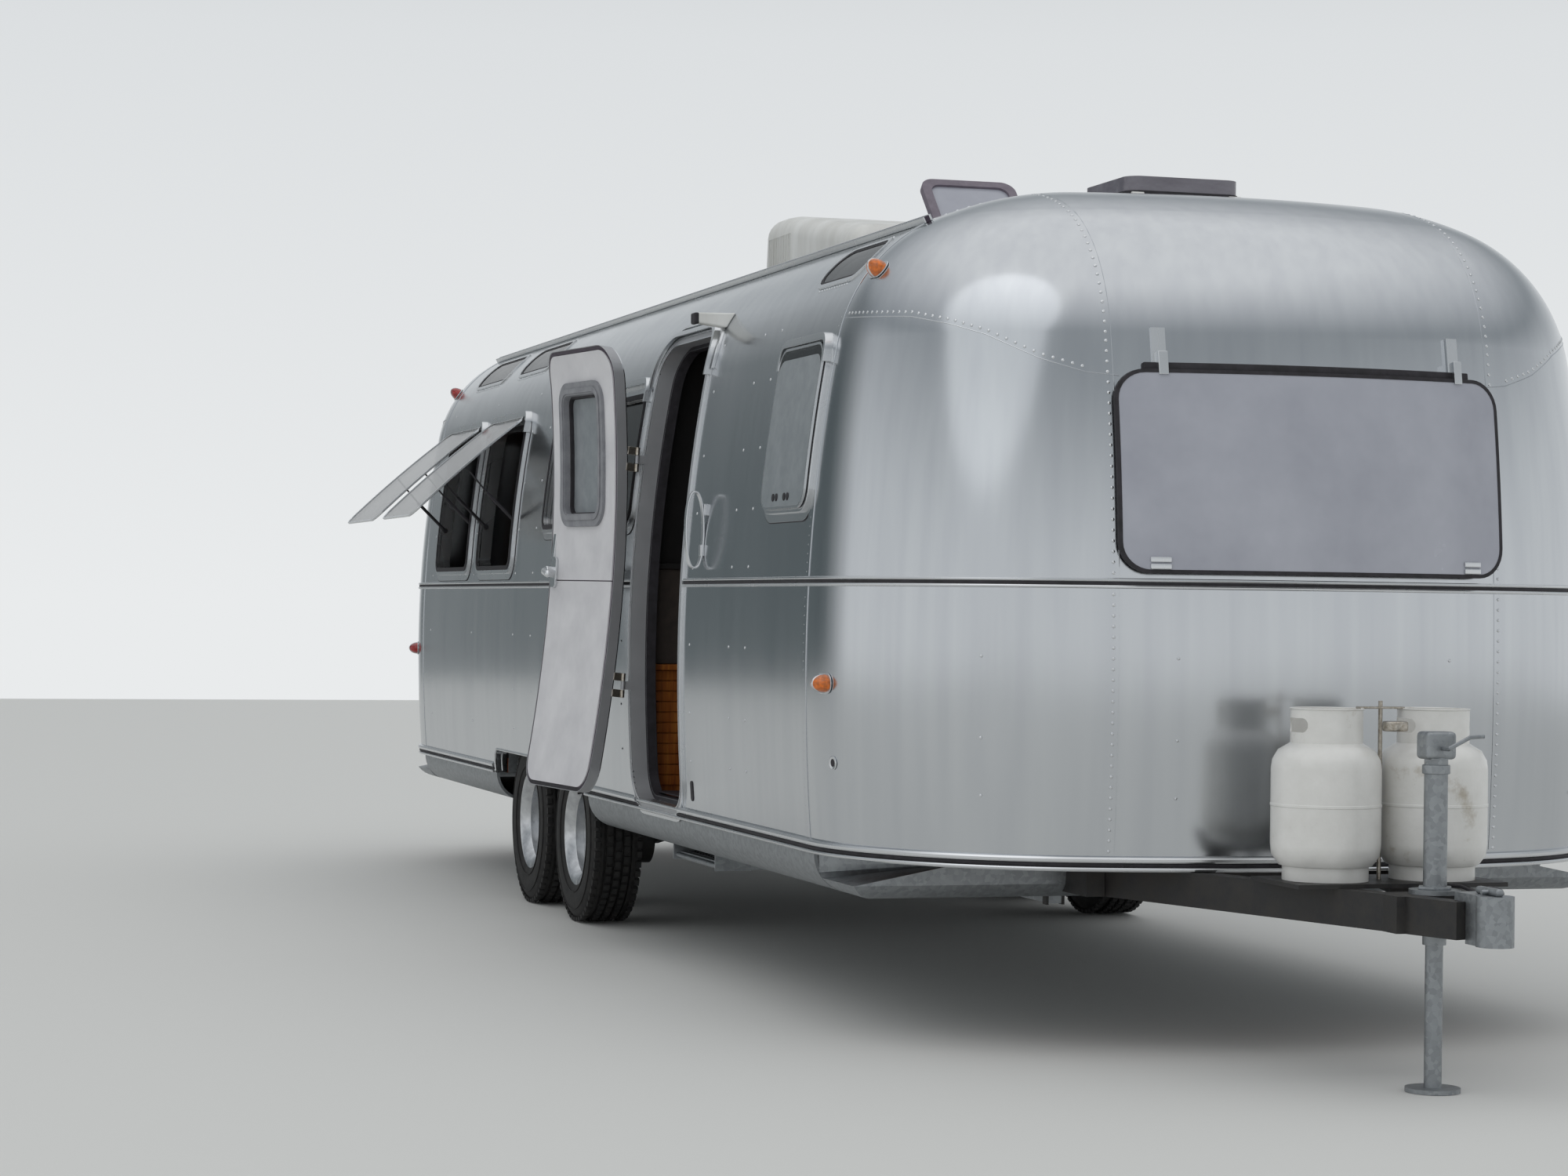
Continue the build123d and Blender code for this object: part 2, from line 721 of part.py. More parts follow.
# Axles and wheels
wheel_y = half_width - WHEEL_INSET
tube_high = BELLY_BOTTOM - FRAME_GAP
tube_low = tube_high - AXLE_TUBE
tube_z = (tube_low + tube_high) / 2
arm_outer = wheel_y - ARM_TO_WHEEL
arm_inner = arm_outer - ARM_WIDTH
axle_places = (("front", axle_centre + AXLE_SPACING / 2), ("rear", axle_centre - AXLE_SPACING / 2))
for axle_name, x in axle_places:
    tube_x = x + AXLE_AHEAD
    half_tube = AXLE_TUBE / 2
    axle = box(tube_x - half_tube, tube_x + half_tube, -arm_outer, arm_outer, tube_low, tube_high)
    arm_plane = Plane(origin=(0, -arm_outer, 0), x_dir=(1, 0, 0), z_dir=(0, 1, 0))
    arm_ends = [
        Circle(ARM_RADIUS).moved(Pos(tube_x, -tube_z)),
        Circle(ARM_RADIUS).moved(Pos(x, -TYRE_RADIUS)),
    ]
    arm_face = make_hull(arm_ends[0].edges() + arm_ends[1].edges())
    arm = extrude(arm_plane * arm_face, amount=ARM_WIDTH)
    arm += cross_bar(x, TYRE_RADIUS, DRUM_RADIUS, -wheel_y + WHEEL_BACK + DRUM_GAP, -arm_outer)
    arm += cross_bar(x, TYRE_RADIUS, SPINDLE_RADIUS, -wheel_y - WHEEL_BACK / 2, -arm_inner)
    parts["axle_" + axle_name] = axle + arm + mirrored(arm)

half_tyre = TYRE_WIDTH / 2
wheel_profile = Polyline(
    (SPINDLE_RADIUS + HUB_GAP, -WHEEL_BACK),
    (RIM_RADIUS - WHEEL_BACK, -WHEEL_BACK),
    (RIM_RADIUS, -half_tyre + RIM_INSET),
    (TYRE_RADIUS - TYRE_SHOULDER, -half_tyre),
    (TYRE_RADIUS, -half_tyre + TYRE_ROUND),
    (TYRE_RADIUS, half_tyre - TYRE_ROUND),
    (TYRE_RADIUS - TYRE_SHOULDER, half_tyre),
    (RIM_RADIUS, half_tyre - RIM_INSET),
    (RIM_RADIUS - TYRE_SHOULDER, DISC_DEPTH),
    (HUB_RADIUS + TYRE_SHOULDER, DISC_DEPTH),
    (HUB_RADIUS, HUB_CAP_DEPTH),
    (SPINDLE_RADIUS + HUB_GAP, HUB_CAP_DEPTH),
    close=True,
)
wheel = revolve(make_face(wheel_profile), axis=Axis.Y)
for axle_name, x in axle_places:
    parts["wheel_" + axle_name + "_road"] = Pos(x, wheel_y, TYRE_RADIUS) * wheel
    parts["wheel_" + axle_name + "_curb"] = Pos(x, -wheel_y, TYRE_RADIUS) * mirrored(wheel)

# Entry door
seat = DOOR_THICKNESS + STOP_GAP
jamb = door_band(FRAME_PROUD, WALL) & door_outline(FRAME_FACE - FRAME_GAP)
jamb -= door_outline(0)
lining = door_band(-seat, FRAME_DEPTH) & door_outline(FRAME_FACE - FRAME_GAP)
lining -= door_outline(-STOP_WIDTH)
leaf = door_band(0, DOOR_THICKNESS) & door_outline(-DOOR_CLEARANCE)


def door_window_outline(grow):
    return curb_prism(
        door_x,
        DOOR_WINDOW_WIDTH + 2 * grow,
        DOOR_WINDOW_BOTTOM - grow,
        DOOR_WINDOW_TOP + grow,
        DOOR_WINDOW_CORNER + grow,
    )


leaf -= door_window_outline(0)
pane = door_band(-DOOR_PANE_DEPTH, DOOR_PANE_DEPTH + PANE_THICKNESS) & door_window_outline(-SASH_GAP)
handle_x = leaf_front - HANDLE_FROM_EDGE


def handle_block(width, height, proud, depth):
    outline = curb_prism(
        handle_x, width, HANDLE_HEIGHT - height / 2, HANDLE_HEIGHT + height / 2, width / 3
    )
    return door_band(proud, depth) & outline


inner_face = DOOR_THICKNESS + TRIM_GAP
handle_outer = handle_block(HANDLE_PLATE_WIDTH, HANDLE_PLATE_HEIGHT, HANDLE_PLATE_DEPTH, -TRIM_GAP)
handle_outer += handle_block(HANDLE_GRIP_WIDTH, HANDLE_GRIP_HEIGHT, HANDLE_GRIP_DEPTH, -HANDLE_PLATE_DEPTH / 2)
plate_face = inner_face + HANDLE_PLATE_DEPTH
pull_face = inner_face + HANDLE_GRIP_DEPTH
handle_inner = handle_block(HANDLE_PLATE_WIDTH, HANDLE_PLATE_HEIGHT, -inner_face, plate_face)
handle_inner += handle_block(HANDLE_GRIP_WIDTH, HANDLE_PULL_HEIGHT, -plate_face + HANDLE_PLATE_DEPTH / 2, pull_face)


def open_door(shape):
    return shape.rotate(hinge_axis, -DOOR_OPEN_ANGLE)


def hinge_part(height, low, high, x_from, x_to):
    """A stretch of hinge barrel with the plate that reaches the wall face beside it."""
    climb = Vector(0, sine(door_mid_angle), cosine(door_mid_angle))
    centre = hinge_axis.position + climb * ((height - hinge_axis.position.Z) / climb.Z)
    start = centre + climb * low
    barrel = Plane(origin=start, z_dir=climb) * Cylinder(
        HINGE_RADIUS, high - low, align=(Align.CENTER, Align.CENTER, Align.MIN)
    )
    face_y = section_point(side_angle(height))[1]
    middle_y = (start + climb * ((high - low) / 2)).Y
    plate_top = start.Z + (high - low) * climb.Z
    plate = box(x_from, x_to, middle_y - HINGE_PLATE_HALF, face_y + HINGE_PLATE_SINK, start.Z, plate_top)
    return barrel + plate


third = HINGE_LENGTH / 6
hinge_x = hinge_axis.position.X
frame_piece = jamb + lining
for height in HINGE_HEIGHTS:
    frame_piece += hinge_part(height, -third, third, hinge_x - HINGE_PLATE, hinge_x)
    for low, high in ((-3 * third, -third - HINGE_GAP), (third + HINGE_GAP, 3 * third)):
        leaf += hinge_part(height, low, high, hinge_x, hinge_x + HINGE_PLATE)
parts["door_frame"] = frame_piece
parts["door_leaf"] = open_door(leaf)
parts["door_window"] = open_door(pane)
parts["door_handle"] = open_door(Compound([handle_outer, handle_inner]))


# Side windows
def window_hood(window):
    """A drip cap over the window, with its ends turned down beside the glass."""
    name, behind, width, bottom, top, sash_angle = window
    x = seam_front - behind
    outer = curb_prism(x, width + 2 * HOOD_END, bottom, top + HOOD_TOP, WINDOW_CORNER)
    under = top + SASH_RISE + PANE_THICKNESS * sine(sash_angle or 0) + SASH_GAP
    outer -= curb_prism(x, width + 2 * SASH_GAP, bottom, under, WINDOW_CORNER / 2)
    reach = half_width + side_reach
    outer &= box(x - width, x + width, -reach, 0, top - HOOD_DROP, top + HOOD_TOP)
    return window_band(window, HOOD_PROUD, -TRIM_GAP) & outer


def window_frame(window):
    ring = window_band(window, WINDOW_PROUD, -TRIM_GAP) & window_outline(window, FRAME_WIDTH / 2)
    sleeve = window_band(window, WINDOW_PROUD, WALL) & window_outline(window, -FRAME_GAP)
    return ring + sleeve + window_hood(window) - window_outline(window, -FRAME_WIDTH / 2)


def window_pane(window):
    glass = window_band(window, -PANE_DEPTH, PANE_DEPTH + PANE_THICKNESS)
    return glass & window_outline(window, -FRAME_WIDTH / 2 - SASH_GAP)


def open_sash(window):
    """Glass that lies over its frame when shut, swung out from its top edge under the hood."""
    name, behind, width, bottom, top, sash_angle = window
    outline = curb_prism(seam_front - behind, width, bottom, top + SASH_RISE, WINDOW_CORNER)
    glass = window_band(window, SASH_PROUD + PANE_THICKNESS, -SASH_PROUD) & outline
    pivot = section_point(side_angle(top + SASH_RISE, SASH_PROUD), SASH_PROUD)
    return glass.rotate(Axis((0, pivot[1], pivot[2]), (1, 0, 0)), -sash_angle)


frames = [window_frame(window) for window in SIDE_WINDOWS]
fixed_panes = [window_pane(window) for window in SIDE_WINDOWS if window[5] is None]
road_panes = [mirrored(window_pane(window)) for window in SIDE_WINDOWS]
parts["window_frames_curb"] = Compound(frames)
parts["window_frames_road"] = mirrored(Compound(frames))
parts["window_panes_curb"] = Compound(fixed_panes)
parts["window_panes_road"] = Compound(road_panes)
parts["window_sashes"] = Compound([open_sash(window) for window in SIDE_WINDOWS if window[5] is not None])


def vista_pane(vista):
    x = seam_front - vista[0]
    glass = straight(band(SIDE_TOP_ANGLE, GUTTER_ANGLE, 0, VISTA_PANE), x - vista[1], x + vista[1])
    return glass & vista_outline(vista, -SASH_GAP)


vista_panes = Compound([vista_pane(vista) for vista in VISTAS])
parts["vista_panes_curb"] = vista_panes
parts["vista_panes_road"] = mirrored(vista_panes)


# Front and rear windows and the stone guard
def end_patch(grow, proud, depth, width, bottom, top, corner):
    face = band(side_angle(bottom - corner), side_angle(top + corner), proud, depth)
    return cap(face) & end_outline(width + 2 * grow, bottom - grow, top + grow, corner + grow)


end_size = (END_WINDOW_WIDTH, END_WINDOW_BOTTOM, END_WINDOW_TOP, WINDOW_CORNER)
guard_size = (GUARD_WIDTH, GUARD_BOTTOM, GUARD_TOP, GUARD_CORNER)
guard_face = GUARD_STANDOFF + GUARD_THICKNESS
end_pane = end_patch(-SASH_GAP, -PANE_DEPTH, PANE_DEPTH + PANE_THICKNESS, *end_size)
guard = end_patch(0, guard_face, -GUARD_STANDOFF, *guard_size)
guard_rim = end_patch(0, guard_face, -TRIM_GAP, *guard_size)
guard_rim -= end_outline(
    GUARD_WIDTH - 2 * GUARD_RIM, GUARD_BOTTOM + GUARD_RIM, GUARD_TOP - GUARD_RIM, GUARD_CORNER - GUARD_RIM
)
parts["front_window"] = at_front(end_pane)
parts["rear_window"] = at_rear(end_pane)
parts["stone_guard"] = at_front(guard + guard_rim)

# Air conditioner, a low shroud that falls towards the front
ac_rear = seam_front - AC_REAR_BEHIND_SEAM
ac_front = seam_front - AC_FRONT_BEHIND_SEAM
ac_outline = make_face(
    Polyline(
        (ac_rear, roof_top),
        (ac_rear + AC_LEAN, roof_top + AC_HEIGHT),
        (ac_rear + AC_FLAT_LENGTH, roof_top + AC_HEIGHT),
        (ac_front - AC_LEAN, roof_top + AC_NOSE_HEIGHT),
        (ac_front, roof_top),
        close=True,
    )
)
ac_corners = ac_outline.vertices().filter_by_position(Axis.Y, roof_top + AC_ROUND, roof_top + 2 * AC_HEIGHT)
ac_outline = fillet(ac_corners, AC_ROUND)
ac = extrude(Plane.XZ * ac_outline, amount=AC_WIDTH / 2, both=True)
ac_plan = RectangleRounded(ac_front - ac_rear, AC_WIDTH, AC_PLAN_ROUND)
ac_plan = Pos((ac_rear + ac_front) / 2, 0, roof_top) * ac_plan
parts["air_conditioner"] = ac & extrude(ac_plan, amount=AC_HEIGHT)

# Roof vents with their lids hinged at the front edge
vent_bases = []
base_top = roof_top + VENT_BASE_HEIGHT
for name, behind, offset, size, lid_thickness, bevel, angle in VENTS:
    x = seam_front - behind
    half = size / 2
    hole = half - VENT_RIM
    base = box(x - half, x + half, offset - half, offset + half, roof_top, base_top)
    base -= box(x - hole, x + hole, offset - hole, offset + hole, roof_top - 1, base_top + 1)
    pin_x = x + half + LID_PIN_AHEAD
    pin_z = base_top + LID_CLEARANCE
    for side_sign in (-1, 1):
        low_y = offset + side_sign * hole - LID_PIN_WIDTH / 2
        high_y = low_y + LID_PIN_WIDTH
        base += cross_bar(pin_x, pin_z, LID_PIN_RADIUS, low_y, high_y)
        base += box(x + half - VENT_RIM / 2, pin_x + LID_PIN_RADIUS, low_y, high_y, roof_top, pin_z - LID_LUG_DROP)
    vent_bases.append(base)
    lid = box(x - half, x + half, offset - half, offset + half, pin_z, pin_z + lid_thickness)
    lid = chamfer(lid.edges().group_by(Axis.Z)[-1], bevel)
    parts["vent_lid_" + name] = lid.rotate(Axis((pin_x, offset, pin_z), (0, 1, 0)), angle)
parts["vent_bases"] = Compound(vent_bases)

# Rear bumper
bumper_x = shell_rear - BUMPER_BEHIND_SHELL
half_bumper = BUMPER_DEPTH / 2
bumper_y = half_width - BUMPER_INSET
bumper_top = frame_top - BUMPER_DROP
bumper = box(bumper_x - half_bumper, bumper_x + half_bumper, -bumper_y, bumper_y, frame_low, bumper_top)
horn = box(bumper_x, frame_rear - FRAME_GAP, rail_y - half_rail, rail_y + half_rail, frame_low, bumper_top)
parts["bumper"] = bumper + horn + mirrored(horn)

# Lamps
lenses = []
for past, angle in MARKERS:
    foot = section_point(angle, TRIM_GAP)
    lens_plane = Plane(origin=foot, z_dir=(0, -cosine(angle), sine(angle)))
    lens = lens_plane * Cylinder(LENS_RADIUS, LENS_DEPTH, align=(Align.CENTER, Align.CENTER, Align.MIN))
    far_edge = lens.edges().filter_by(GeomType.CIRCLE).sort_by(Axis.Y)[0]
    lens = fillet(far_edge, LENS_ROUND)
    turn = math.degrees(math.asin(past / (-corner_axis_y - foot[1])))
    lenses.append(lens.rotate(corner_axis, turn))
marker_lights = Compound([both_sides(lens) for lens in lenses])
parts["marker_lights_amber"] = at_front(marker_lights)
parts["marker_lights_red"] = at_rear(marker_lights)

lamp_face = band(side_angle(TAIL_LAMP_BOTTOM), side_angle(TAIL_LAMP_TOP), TAIL_LAMP_DEPTH, -TRIM_GAP)
lamp = revolve(lamp_face.rotate(corner_axis, TAIL_LAMP_TURN), axis=corner_axis, revolution_arc=TAIL_LAMP_SPAN)
parts["tail_lamps"] = at_rear(both_sides(lamp))

porch_x = seam_front - PORCH_BEHIND_SEAM
porch_block = box(
    porch_x - PORCH_WIDTH / 2, porch_x + PORCH_WIDTH / 2, -half_width - beyond, 0, PORCH_BOTTOM, PORCH_TOP
)
parts["porch_light"] = door_band(PORCH_REACH, -TRIM_GAP) & porch_block

# Grab handle, a loop that stands out from the wall
grab_middle = (GRAB_BOTTOM + GRAB_TOP) / 2
grab_height = GRAB_TOP - GRAB_BOTTOM
grab_y = section_point(side_angle(grab_middle), GRAB_REACH / 4)[1]
grab_width = 1.5 * GRAB_REACH
grab_x = seam_front - GRAB_BEHIND_SEAM
grab_plane = Plane(origin=(grab_x, grab_y, grab_middle), x_dir=(0, 0, 1), z_dir=(1, 0, 0))
grab_face = SlotOverall(grab_height, grab_width) - SlotOverall(
    grab_height - 2 * GRAB_THICKNESS, grab_width - 2 * GRAB_THICKNESS
)
grab = extrude(grab_plane * grab_face, amount=GRAB_BAND / 2, both=True)
grab_band = band(side_angle(GRAB_BOTTOM - beyond), side_angle(GRAB_TOP + beyond), 2 * GRAB_REACH, -TRIM_GAP)
parts["grab_handle"] = grab & straight(grab_band, grab_x - GRAB_BAND, grab_x + GRAB_BAND)

# Galley beside the doorway
galley_outer = inner_side - GALLEY_OFF_WALL
galley = side_box(
    seam_front - GALLEY_TO,
    seam_front - GALLEY_FROM,
    galley_outer - GALLEY_DEPTH,
    galley_outer,
    FLOOR_TOP,
    GALLEY_TOP,
)
galley -= side_box(
    well_from - GALLEY_OFF_WELL,
    well_to + GALLEY_OFF_WELL,
    well_inner - GALLEY_OFF_WELL,
    half_width,
    0,
    WELL_TOP + 1,
)
parts["galley"] = galley

# Stabiliser stands folded up under the frame rails
stand_z = frame_low - STAND_PIN_DROP
half_stand = STAND_WIDTH / 2
half_thick = STAND_THICKNESS / 2
stand_places = (
    # name, pin, side, direction of the folded leg
    ("front_curb", seam_front + STAND_INTO_CAP, -1, -1),
    ("front_road", seam_front + STAND_INTO_CAP, 1, -1),
    ("rear_curb", seam_rear - STAND_INTO_CAP, -1, 1),
    ("rear_road", seam_rear - STAND_INTO_CAP, 1, 1),
)
for name, x, side_sign, along in stand_places:
    y = side_sign * rail_y
    x_pair = sorted((x - along * STAND_PAST_PIN, x + along * STAND_LENGTH))
    stand = box(*x_pair, y - half_stand, y + half_stand, stand_z - half_thick, stand_z + half_thick)
    stand -= cross_bar(x, stand_z, STAND_PIN_RADIUS + PIN_GAP, y - STAND_WIDTH, y + STAND_WIDTH)
    parts["stand_" + name] = stand
    ear_near = half_stand + PIN_GAP
    ear_far = ear_near + EAR_THICKNESS
    for ear in (-1, 1):
        y_pair = sorted((y + ear * ear_near, y + ear * ear_far))
        frame += box(x - EAR_HALF_LENGTH, x + EAR_HALF_LENGTH, *y_pair, stand_z - EAR_HALF_LENGTH, frame_low)
    frame += cross_bar(x, stand_z, STAND_PIN_RADIUS, y - ear_near - 1, y + ear_near + 1)
parts["chassis"] = frame

# Entry step folded in under the belly
step_z = BELLY_BOTTOM - STEP_DROP
half_step = STEP_WIDTH / 2
step = box(
    door_x - half_step,
    door_x + half_step,
    step_pin_y + STEP_PIN_RADIUS + 1,
    step_pin_y + STEP_DEPTH,
    step_z - STEP_THICKNESS / 2,
    step_z + STEP_THICKNESS / 2,
)
step += Pos(door_x, step_pin_y, step_z) * Rot(0, 90, 0) * Cylinder(STEP_PIN_RADIUS, STEP_WIDTH)
step += box(
    door_x - half_step,
    door_x + half_step,
    step_pin_y,
    step_pin_y + 2 * STEP_PIN_RADIUS,
    step_z - STEP_PIN_RADIUS / 2,
    step_z + STEP_PIN_RADIUS / 2,
)
parts["entry_step"] = step
bracket_top = BELLY_BOTTOM - FRAME_GAP
plate_far = half_step + STEP_PLATE
bracket_back = step_pin_y + STEP_DEPTH / 2
bracket = box(
    door_x - plate_far,
    door_x + plate_far,
    step_pin_y + BRACKET_INSET,
    bracket_back,
    bracket_top - BRACKET_SHEET,
    bracket_top,
)
for side_sign in (-1, 1):
    x_pair = sorted((door_x + side_sign * (half_step + STEP_SIDE_GAP), door_x + side_sign * plate_far))
    bracket += box(
        *x_pair, step_pin_y - 2 * STEP_PIN_RADIUS, bracket_back, step_z - 2 * STEP_PIN_RADIUS, bracket_top
    )
parts["step_bracket"] = bracket

for name, shape in parts.items():
    export_step(shape, "parts/" + name + ".step")
print(len(parts), "parts written")
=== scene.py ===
import math

import bpy
from mathutils import Matrix, Vector


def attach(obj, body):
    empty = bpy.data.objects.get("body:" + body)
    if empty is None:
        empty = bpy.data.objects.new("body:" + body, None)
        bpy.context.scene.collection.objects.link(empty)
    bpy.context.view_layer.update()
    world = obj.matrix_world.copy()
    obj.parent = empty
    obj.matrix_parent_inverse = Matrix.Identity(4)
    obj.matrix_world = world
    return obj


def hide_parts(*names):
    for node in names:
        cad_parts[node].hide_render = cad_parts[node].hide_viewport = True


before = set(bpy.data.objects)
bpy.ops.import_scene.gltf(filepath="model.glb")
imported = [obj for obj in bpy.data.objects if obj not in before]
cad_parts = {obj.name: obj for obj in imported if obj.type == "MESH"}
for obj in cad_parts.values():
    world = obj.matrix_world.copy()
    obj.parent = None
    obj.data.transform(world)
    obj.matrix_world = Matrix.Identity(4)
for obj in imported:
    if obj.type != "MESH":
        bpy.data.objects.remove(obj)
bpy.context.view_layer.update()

# Travel caravan with a riveted aluminium body, in metres. +X is forward to the hitch,
# -Y is the curb side with the entry door, Z is up, and the origin is under the jack.

shell = {
    "width": 2.578,
    "sideRadius": 5.5,
    "lowerRadius": 6.8,
    "widestHeight": 1.12,
    "railHeight": 0.536,
    "beltHeight": 1.37,
    "sideTopAngle": 10.3,
    "cornerRadius": 0.54,
    "gutterAngle": 65,
    "wall": 0.05,
    "straightLength": 6.45,
    "capCornerRadius": 0.84,
    "capNoseRadius": 2.34,
    "jackToBody": 0.7,
    "cornerSteps": 26,
    "noseSteps": 18,
}

halfWidth = shell["width"] / 2
cornerAxisY = halfWidth - shell["capCornerRadius"]
noseAngle = math.degrees(math.asin(cornerAxisY / (shell["capNoseRadius"] - shell["capCornerRadius"])))
noseAxisBack = (shell["capNoseRadius"] - shell["capCornerRadius"]) * math.cos(math.radians(noseAngle))
capDepth = shell["capNoseRadius"] - noseAxisBack
seamFront = -shell["jackToBody"] - capDepth
seamRear = seamFront - shell["straightLength"]


def sine(angle):
    return math.sin(math.radians(angle))


def cosine(angle):
    return math.cos(math.radians(angle))


# the curb side's section: arcs named by the angle of their outward normal above the level
lowerCentre = (-halfWidth + shell["lowerRadius"], shell["widestHeight"])
sideCentre = (-halfWidth + shell["sideRadius"], shell["widestHeight"])
cornerReach = shell["sideRadius"] - shell["cornerRadius"]
cornerCentre = (
    sideCentre[0] - cornerReach * cosine(shell["sideTopAngle"]),
    sideCentre[1] + cornerReach * sine(shell["sideTopAngle"]),
)
gutterY = cornerCentre[0] - shell["cornerRadius"] * cosine(shell["gutterAngle"])
gutterZ = cornerCentre[1] + shell["cornerRadius"] * sine(shell["gutterAngle"])
crownRadius = (-cornerAxisY - gutterY) / cosine(shell["gutterAngle"])
crownCentre = (-cornerAxisY, gutterZ - crownRadius * sine(shell["gutterAngle"]))
roofTop = crownCentre[1] + crownRadius
sectionArcs = (
    (lowerCentre, shell["lowerRadius"], -90, 0),
    (sideCentre, shell["sideRadius"], 0, shell["sideTopAngle"]),
    (cornerCentre, shell["cornerRadius"], shell["sideTopAngle"], shell["gutterAngle"]),
    (crownCentre, crownRadius, shell["gutterAngle"], 90),
)


def sideAngle(height, proud=0.0):
    radius = shell["lowerRadius"] if height < shell["widestHeight"] else shell["sideRadius"]
    return math.degrees(math.asin((height - shell["widestHeight"]) / (radius + proud)))


def angleAt(height):
    # the section's angle at a height, also above the flat side where the roof starts to turn
    sideTop = sideCentre[1] + shell["sideRadius"] * sine(shell["sideTopAngle"])
    if height <= sideTop:
        return sideAngle(height)
    return math.degrees(math.asin((height - cornerCentre[1]) / shell["cornerRadius"]))


def sectionPoint(angle, proud=0.0):
    for centre, radius, first, last in sectionArcs:
        if first <= angle <= last:
            return (centre[0] - (radius + proud) * cosine(angle), centre[1] + (radius + proud) * sine(angle))


# Small helpers for working in edit mode
def deselectAll():
    bpy.ops.object.select_all(action="DESELECT")


def activate(obj):
    deselectAll()
    obj.select_set(True)
    bpy.context.view_layer.objects.active = obj


def editMode():
    bpy.ops.object.mode_set(mode="EDIT")


def objectMode():
    bpy.ops.object.mode_set(mode="OBJECT")


def selectAll():
    bpy.ops.mesh.select_all(action="SELECT")


def closeShape():
    # turns all faces outwards and leaves edit mode
    selectAll()
    bpy.ops.mesh.normals_make_consistent(inside=False)
    objectMode()


def flipFaces():
    editMode()
    bpy.ops.mesh.flip_normals()
    objectMode()


def mergeClose(distance):
    bpy.ops.mesh.remove_doubles(threshold=distance)


def selectFaces(obj, test):
    # leaves edit mode, marks the faces that pass, and goes back in
    objectMode()
    for vertex in obj.data.vertices:
        vertex.select = False
    for edge in obj.data.edges:
        edge.select = False
    for face in obj.data.polygons:
        face.select = test(face)
    editMode()
    bpy.ops.mesh.select_mode(type="FACE")


def selectEdges(obj, test):
    objectMode()
    for face in obj.data.polygons:
        face.select = False
    for vertex in obj.data.vertices:
        vertex.select = False
    points = [vertex.co for vertex in obj.data.vertices]
    for edge in obj.data.edges:
        a, b = edge.vertices
        edge.select = test(points[a], points[b])
    editMode()
    bpy.ops.mesh.select_mode(type="EDGE")


def roundEdges(obj, test, size, segments=8):
    selectEdges(obj, test)
    bpy.ops.mesh.bevel(offset=size, segments=segments, affect="EDGES")
    objectMode()


def scaleFaces(obj, test, factors, centre):
    selectFaces(obj, test)
    bpy.ops.transform.resize(value=factors, center_override=centre)
    objectMode()


def startPoint(name, point):
    deselectAll()
    bpy.ops.mesh.primitive_plane_add(size=0.01, location=(0, 0, 0))
    obj = bpy.context.object
    obj.name = name
    editMode()
    bpy.ops.mesh.select_mode(type="VERT")
    selectAll()
    bpy.ops.mesh.merge(type="CENTER")
    bpy.ops.transform.translate(value=point)
    return obj


def drawLine(points):
    # draws on from the selected point, which is the first one
    for here, there in zip(points[:-1], points[1:]):
        step = Vector(there) - Vector(here)
        bpy.ops.mesh.extrude_vertices_move(TRANSFORM_OT_translate={"value": step})
    selectAll()


def spin(centre, axis, angle, steps):
    # the operator turns clockwise, so the angle is given the other way round
    bpy.ops.mesh.spin(steps=steps, angle=-math.radians(angle), center=centre, axis=axis)


def slide(x=0.0, y=0.0, z=0.0):
    bpy.ops.mesh.extrude_region_move(TRANSFORM_OT_translate={"value": (x, y, z)})


def climbSection(low, high, x):
    # draws the body section upwards from the selected point
    for centre, radius, first, last in sectionArcs:
        start = max(low, first)
        stop = min(high, last)
        if stop - start > 0.001:
            length = math.radians(stop - start) * radius
            steps = max(1, math.ceil(length / 0.06), math.ceil((stop - start) / 2))
            spin((x, centre[0], centre[1]), (1, 0, 0), start - stop, steps)
    selectAll()


def sweepEnd(front):
    # goes on round an end: the front from the curb to the road side, the rear back again
    seam, way = (seamFront, 1) if front else (seamRear, -1)
    for centre, turn, steps in (
        ((seam, -way * cornerAxisY, 0), 90 - noseAngle, shell["cornerSteps"]),
        ((seam - way * noseAxisBack, 0, 0), 2 * noseAngle, shell["noseSteps"]),
        ((seam, way * cornerAxisY, 0), 90 - noseAngle, shell["cornerSteps"]),
    ):
        spin(centre, (0, 0, 1), turn, steps)


def sweepRoundBody():
    sweepEnd(True)
    slide(x=-shell["straightLength"])
    sweepEnd(False)
    slide(x=shell["straightLength"])
    selectAll()
    mergeClose(0.0004)
    bpy.ops.mesh.normals_make_consistent(inside=False)


def applyModifier(obj, kind, **settings):
    activate(obj)
    modifier = obj.modifiers.new(kind.lower(), kind)
    for name, value in settings.items():
        setattr(modifier, name, value)
    bpy.ops.object.modifier_apply(modifier=modifier.name)


def cut(obj, *cutters):
    for cutter in cutters:
        applyModifier(obj, "BOOLEAN", object=cutter, operation="DIFFERENCE", solver="EXACT")
        bpy.data.objects.remove(cutter)
    return obj


def common(obj, other):
    applyModifier(obj, "BOOLEAN", object=other, operation="INTERSECT", solver="EXACT")
    bpy.data.objects.remove(other)
    return obj


def thicken(obj, depth):
    applyModifier(obj, "SOLIDIFY", thickness=depth, offset=-1, use_even_offset=True)
    return obj


def bevelEdges(obj, width, segments=2, angle=40):
    applyModifier(
        obj, "BEVEL", width=width, segments=segments, limit_method="ANGLE",
        angle_limit=math.radians(angle), harden_normals=False,
    )
    return obj


def bake(obj):
    activate(obj)
    bpy.ops.object.transform_apply(location=True, rotation=True, scale=True)


def moveTo(obj, place):
    obj.location = place
    bake(obj)


def copyOf(obj, name):
    twin = obj.copy()
    twin.data = obj.data.copy()
    twin.name = name
    bpy.context.scene.collection.objects.link(twin)
    return twin


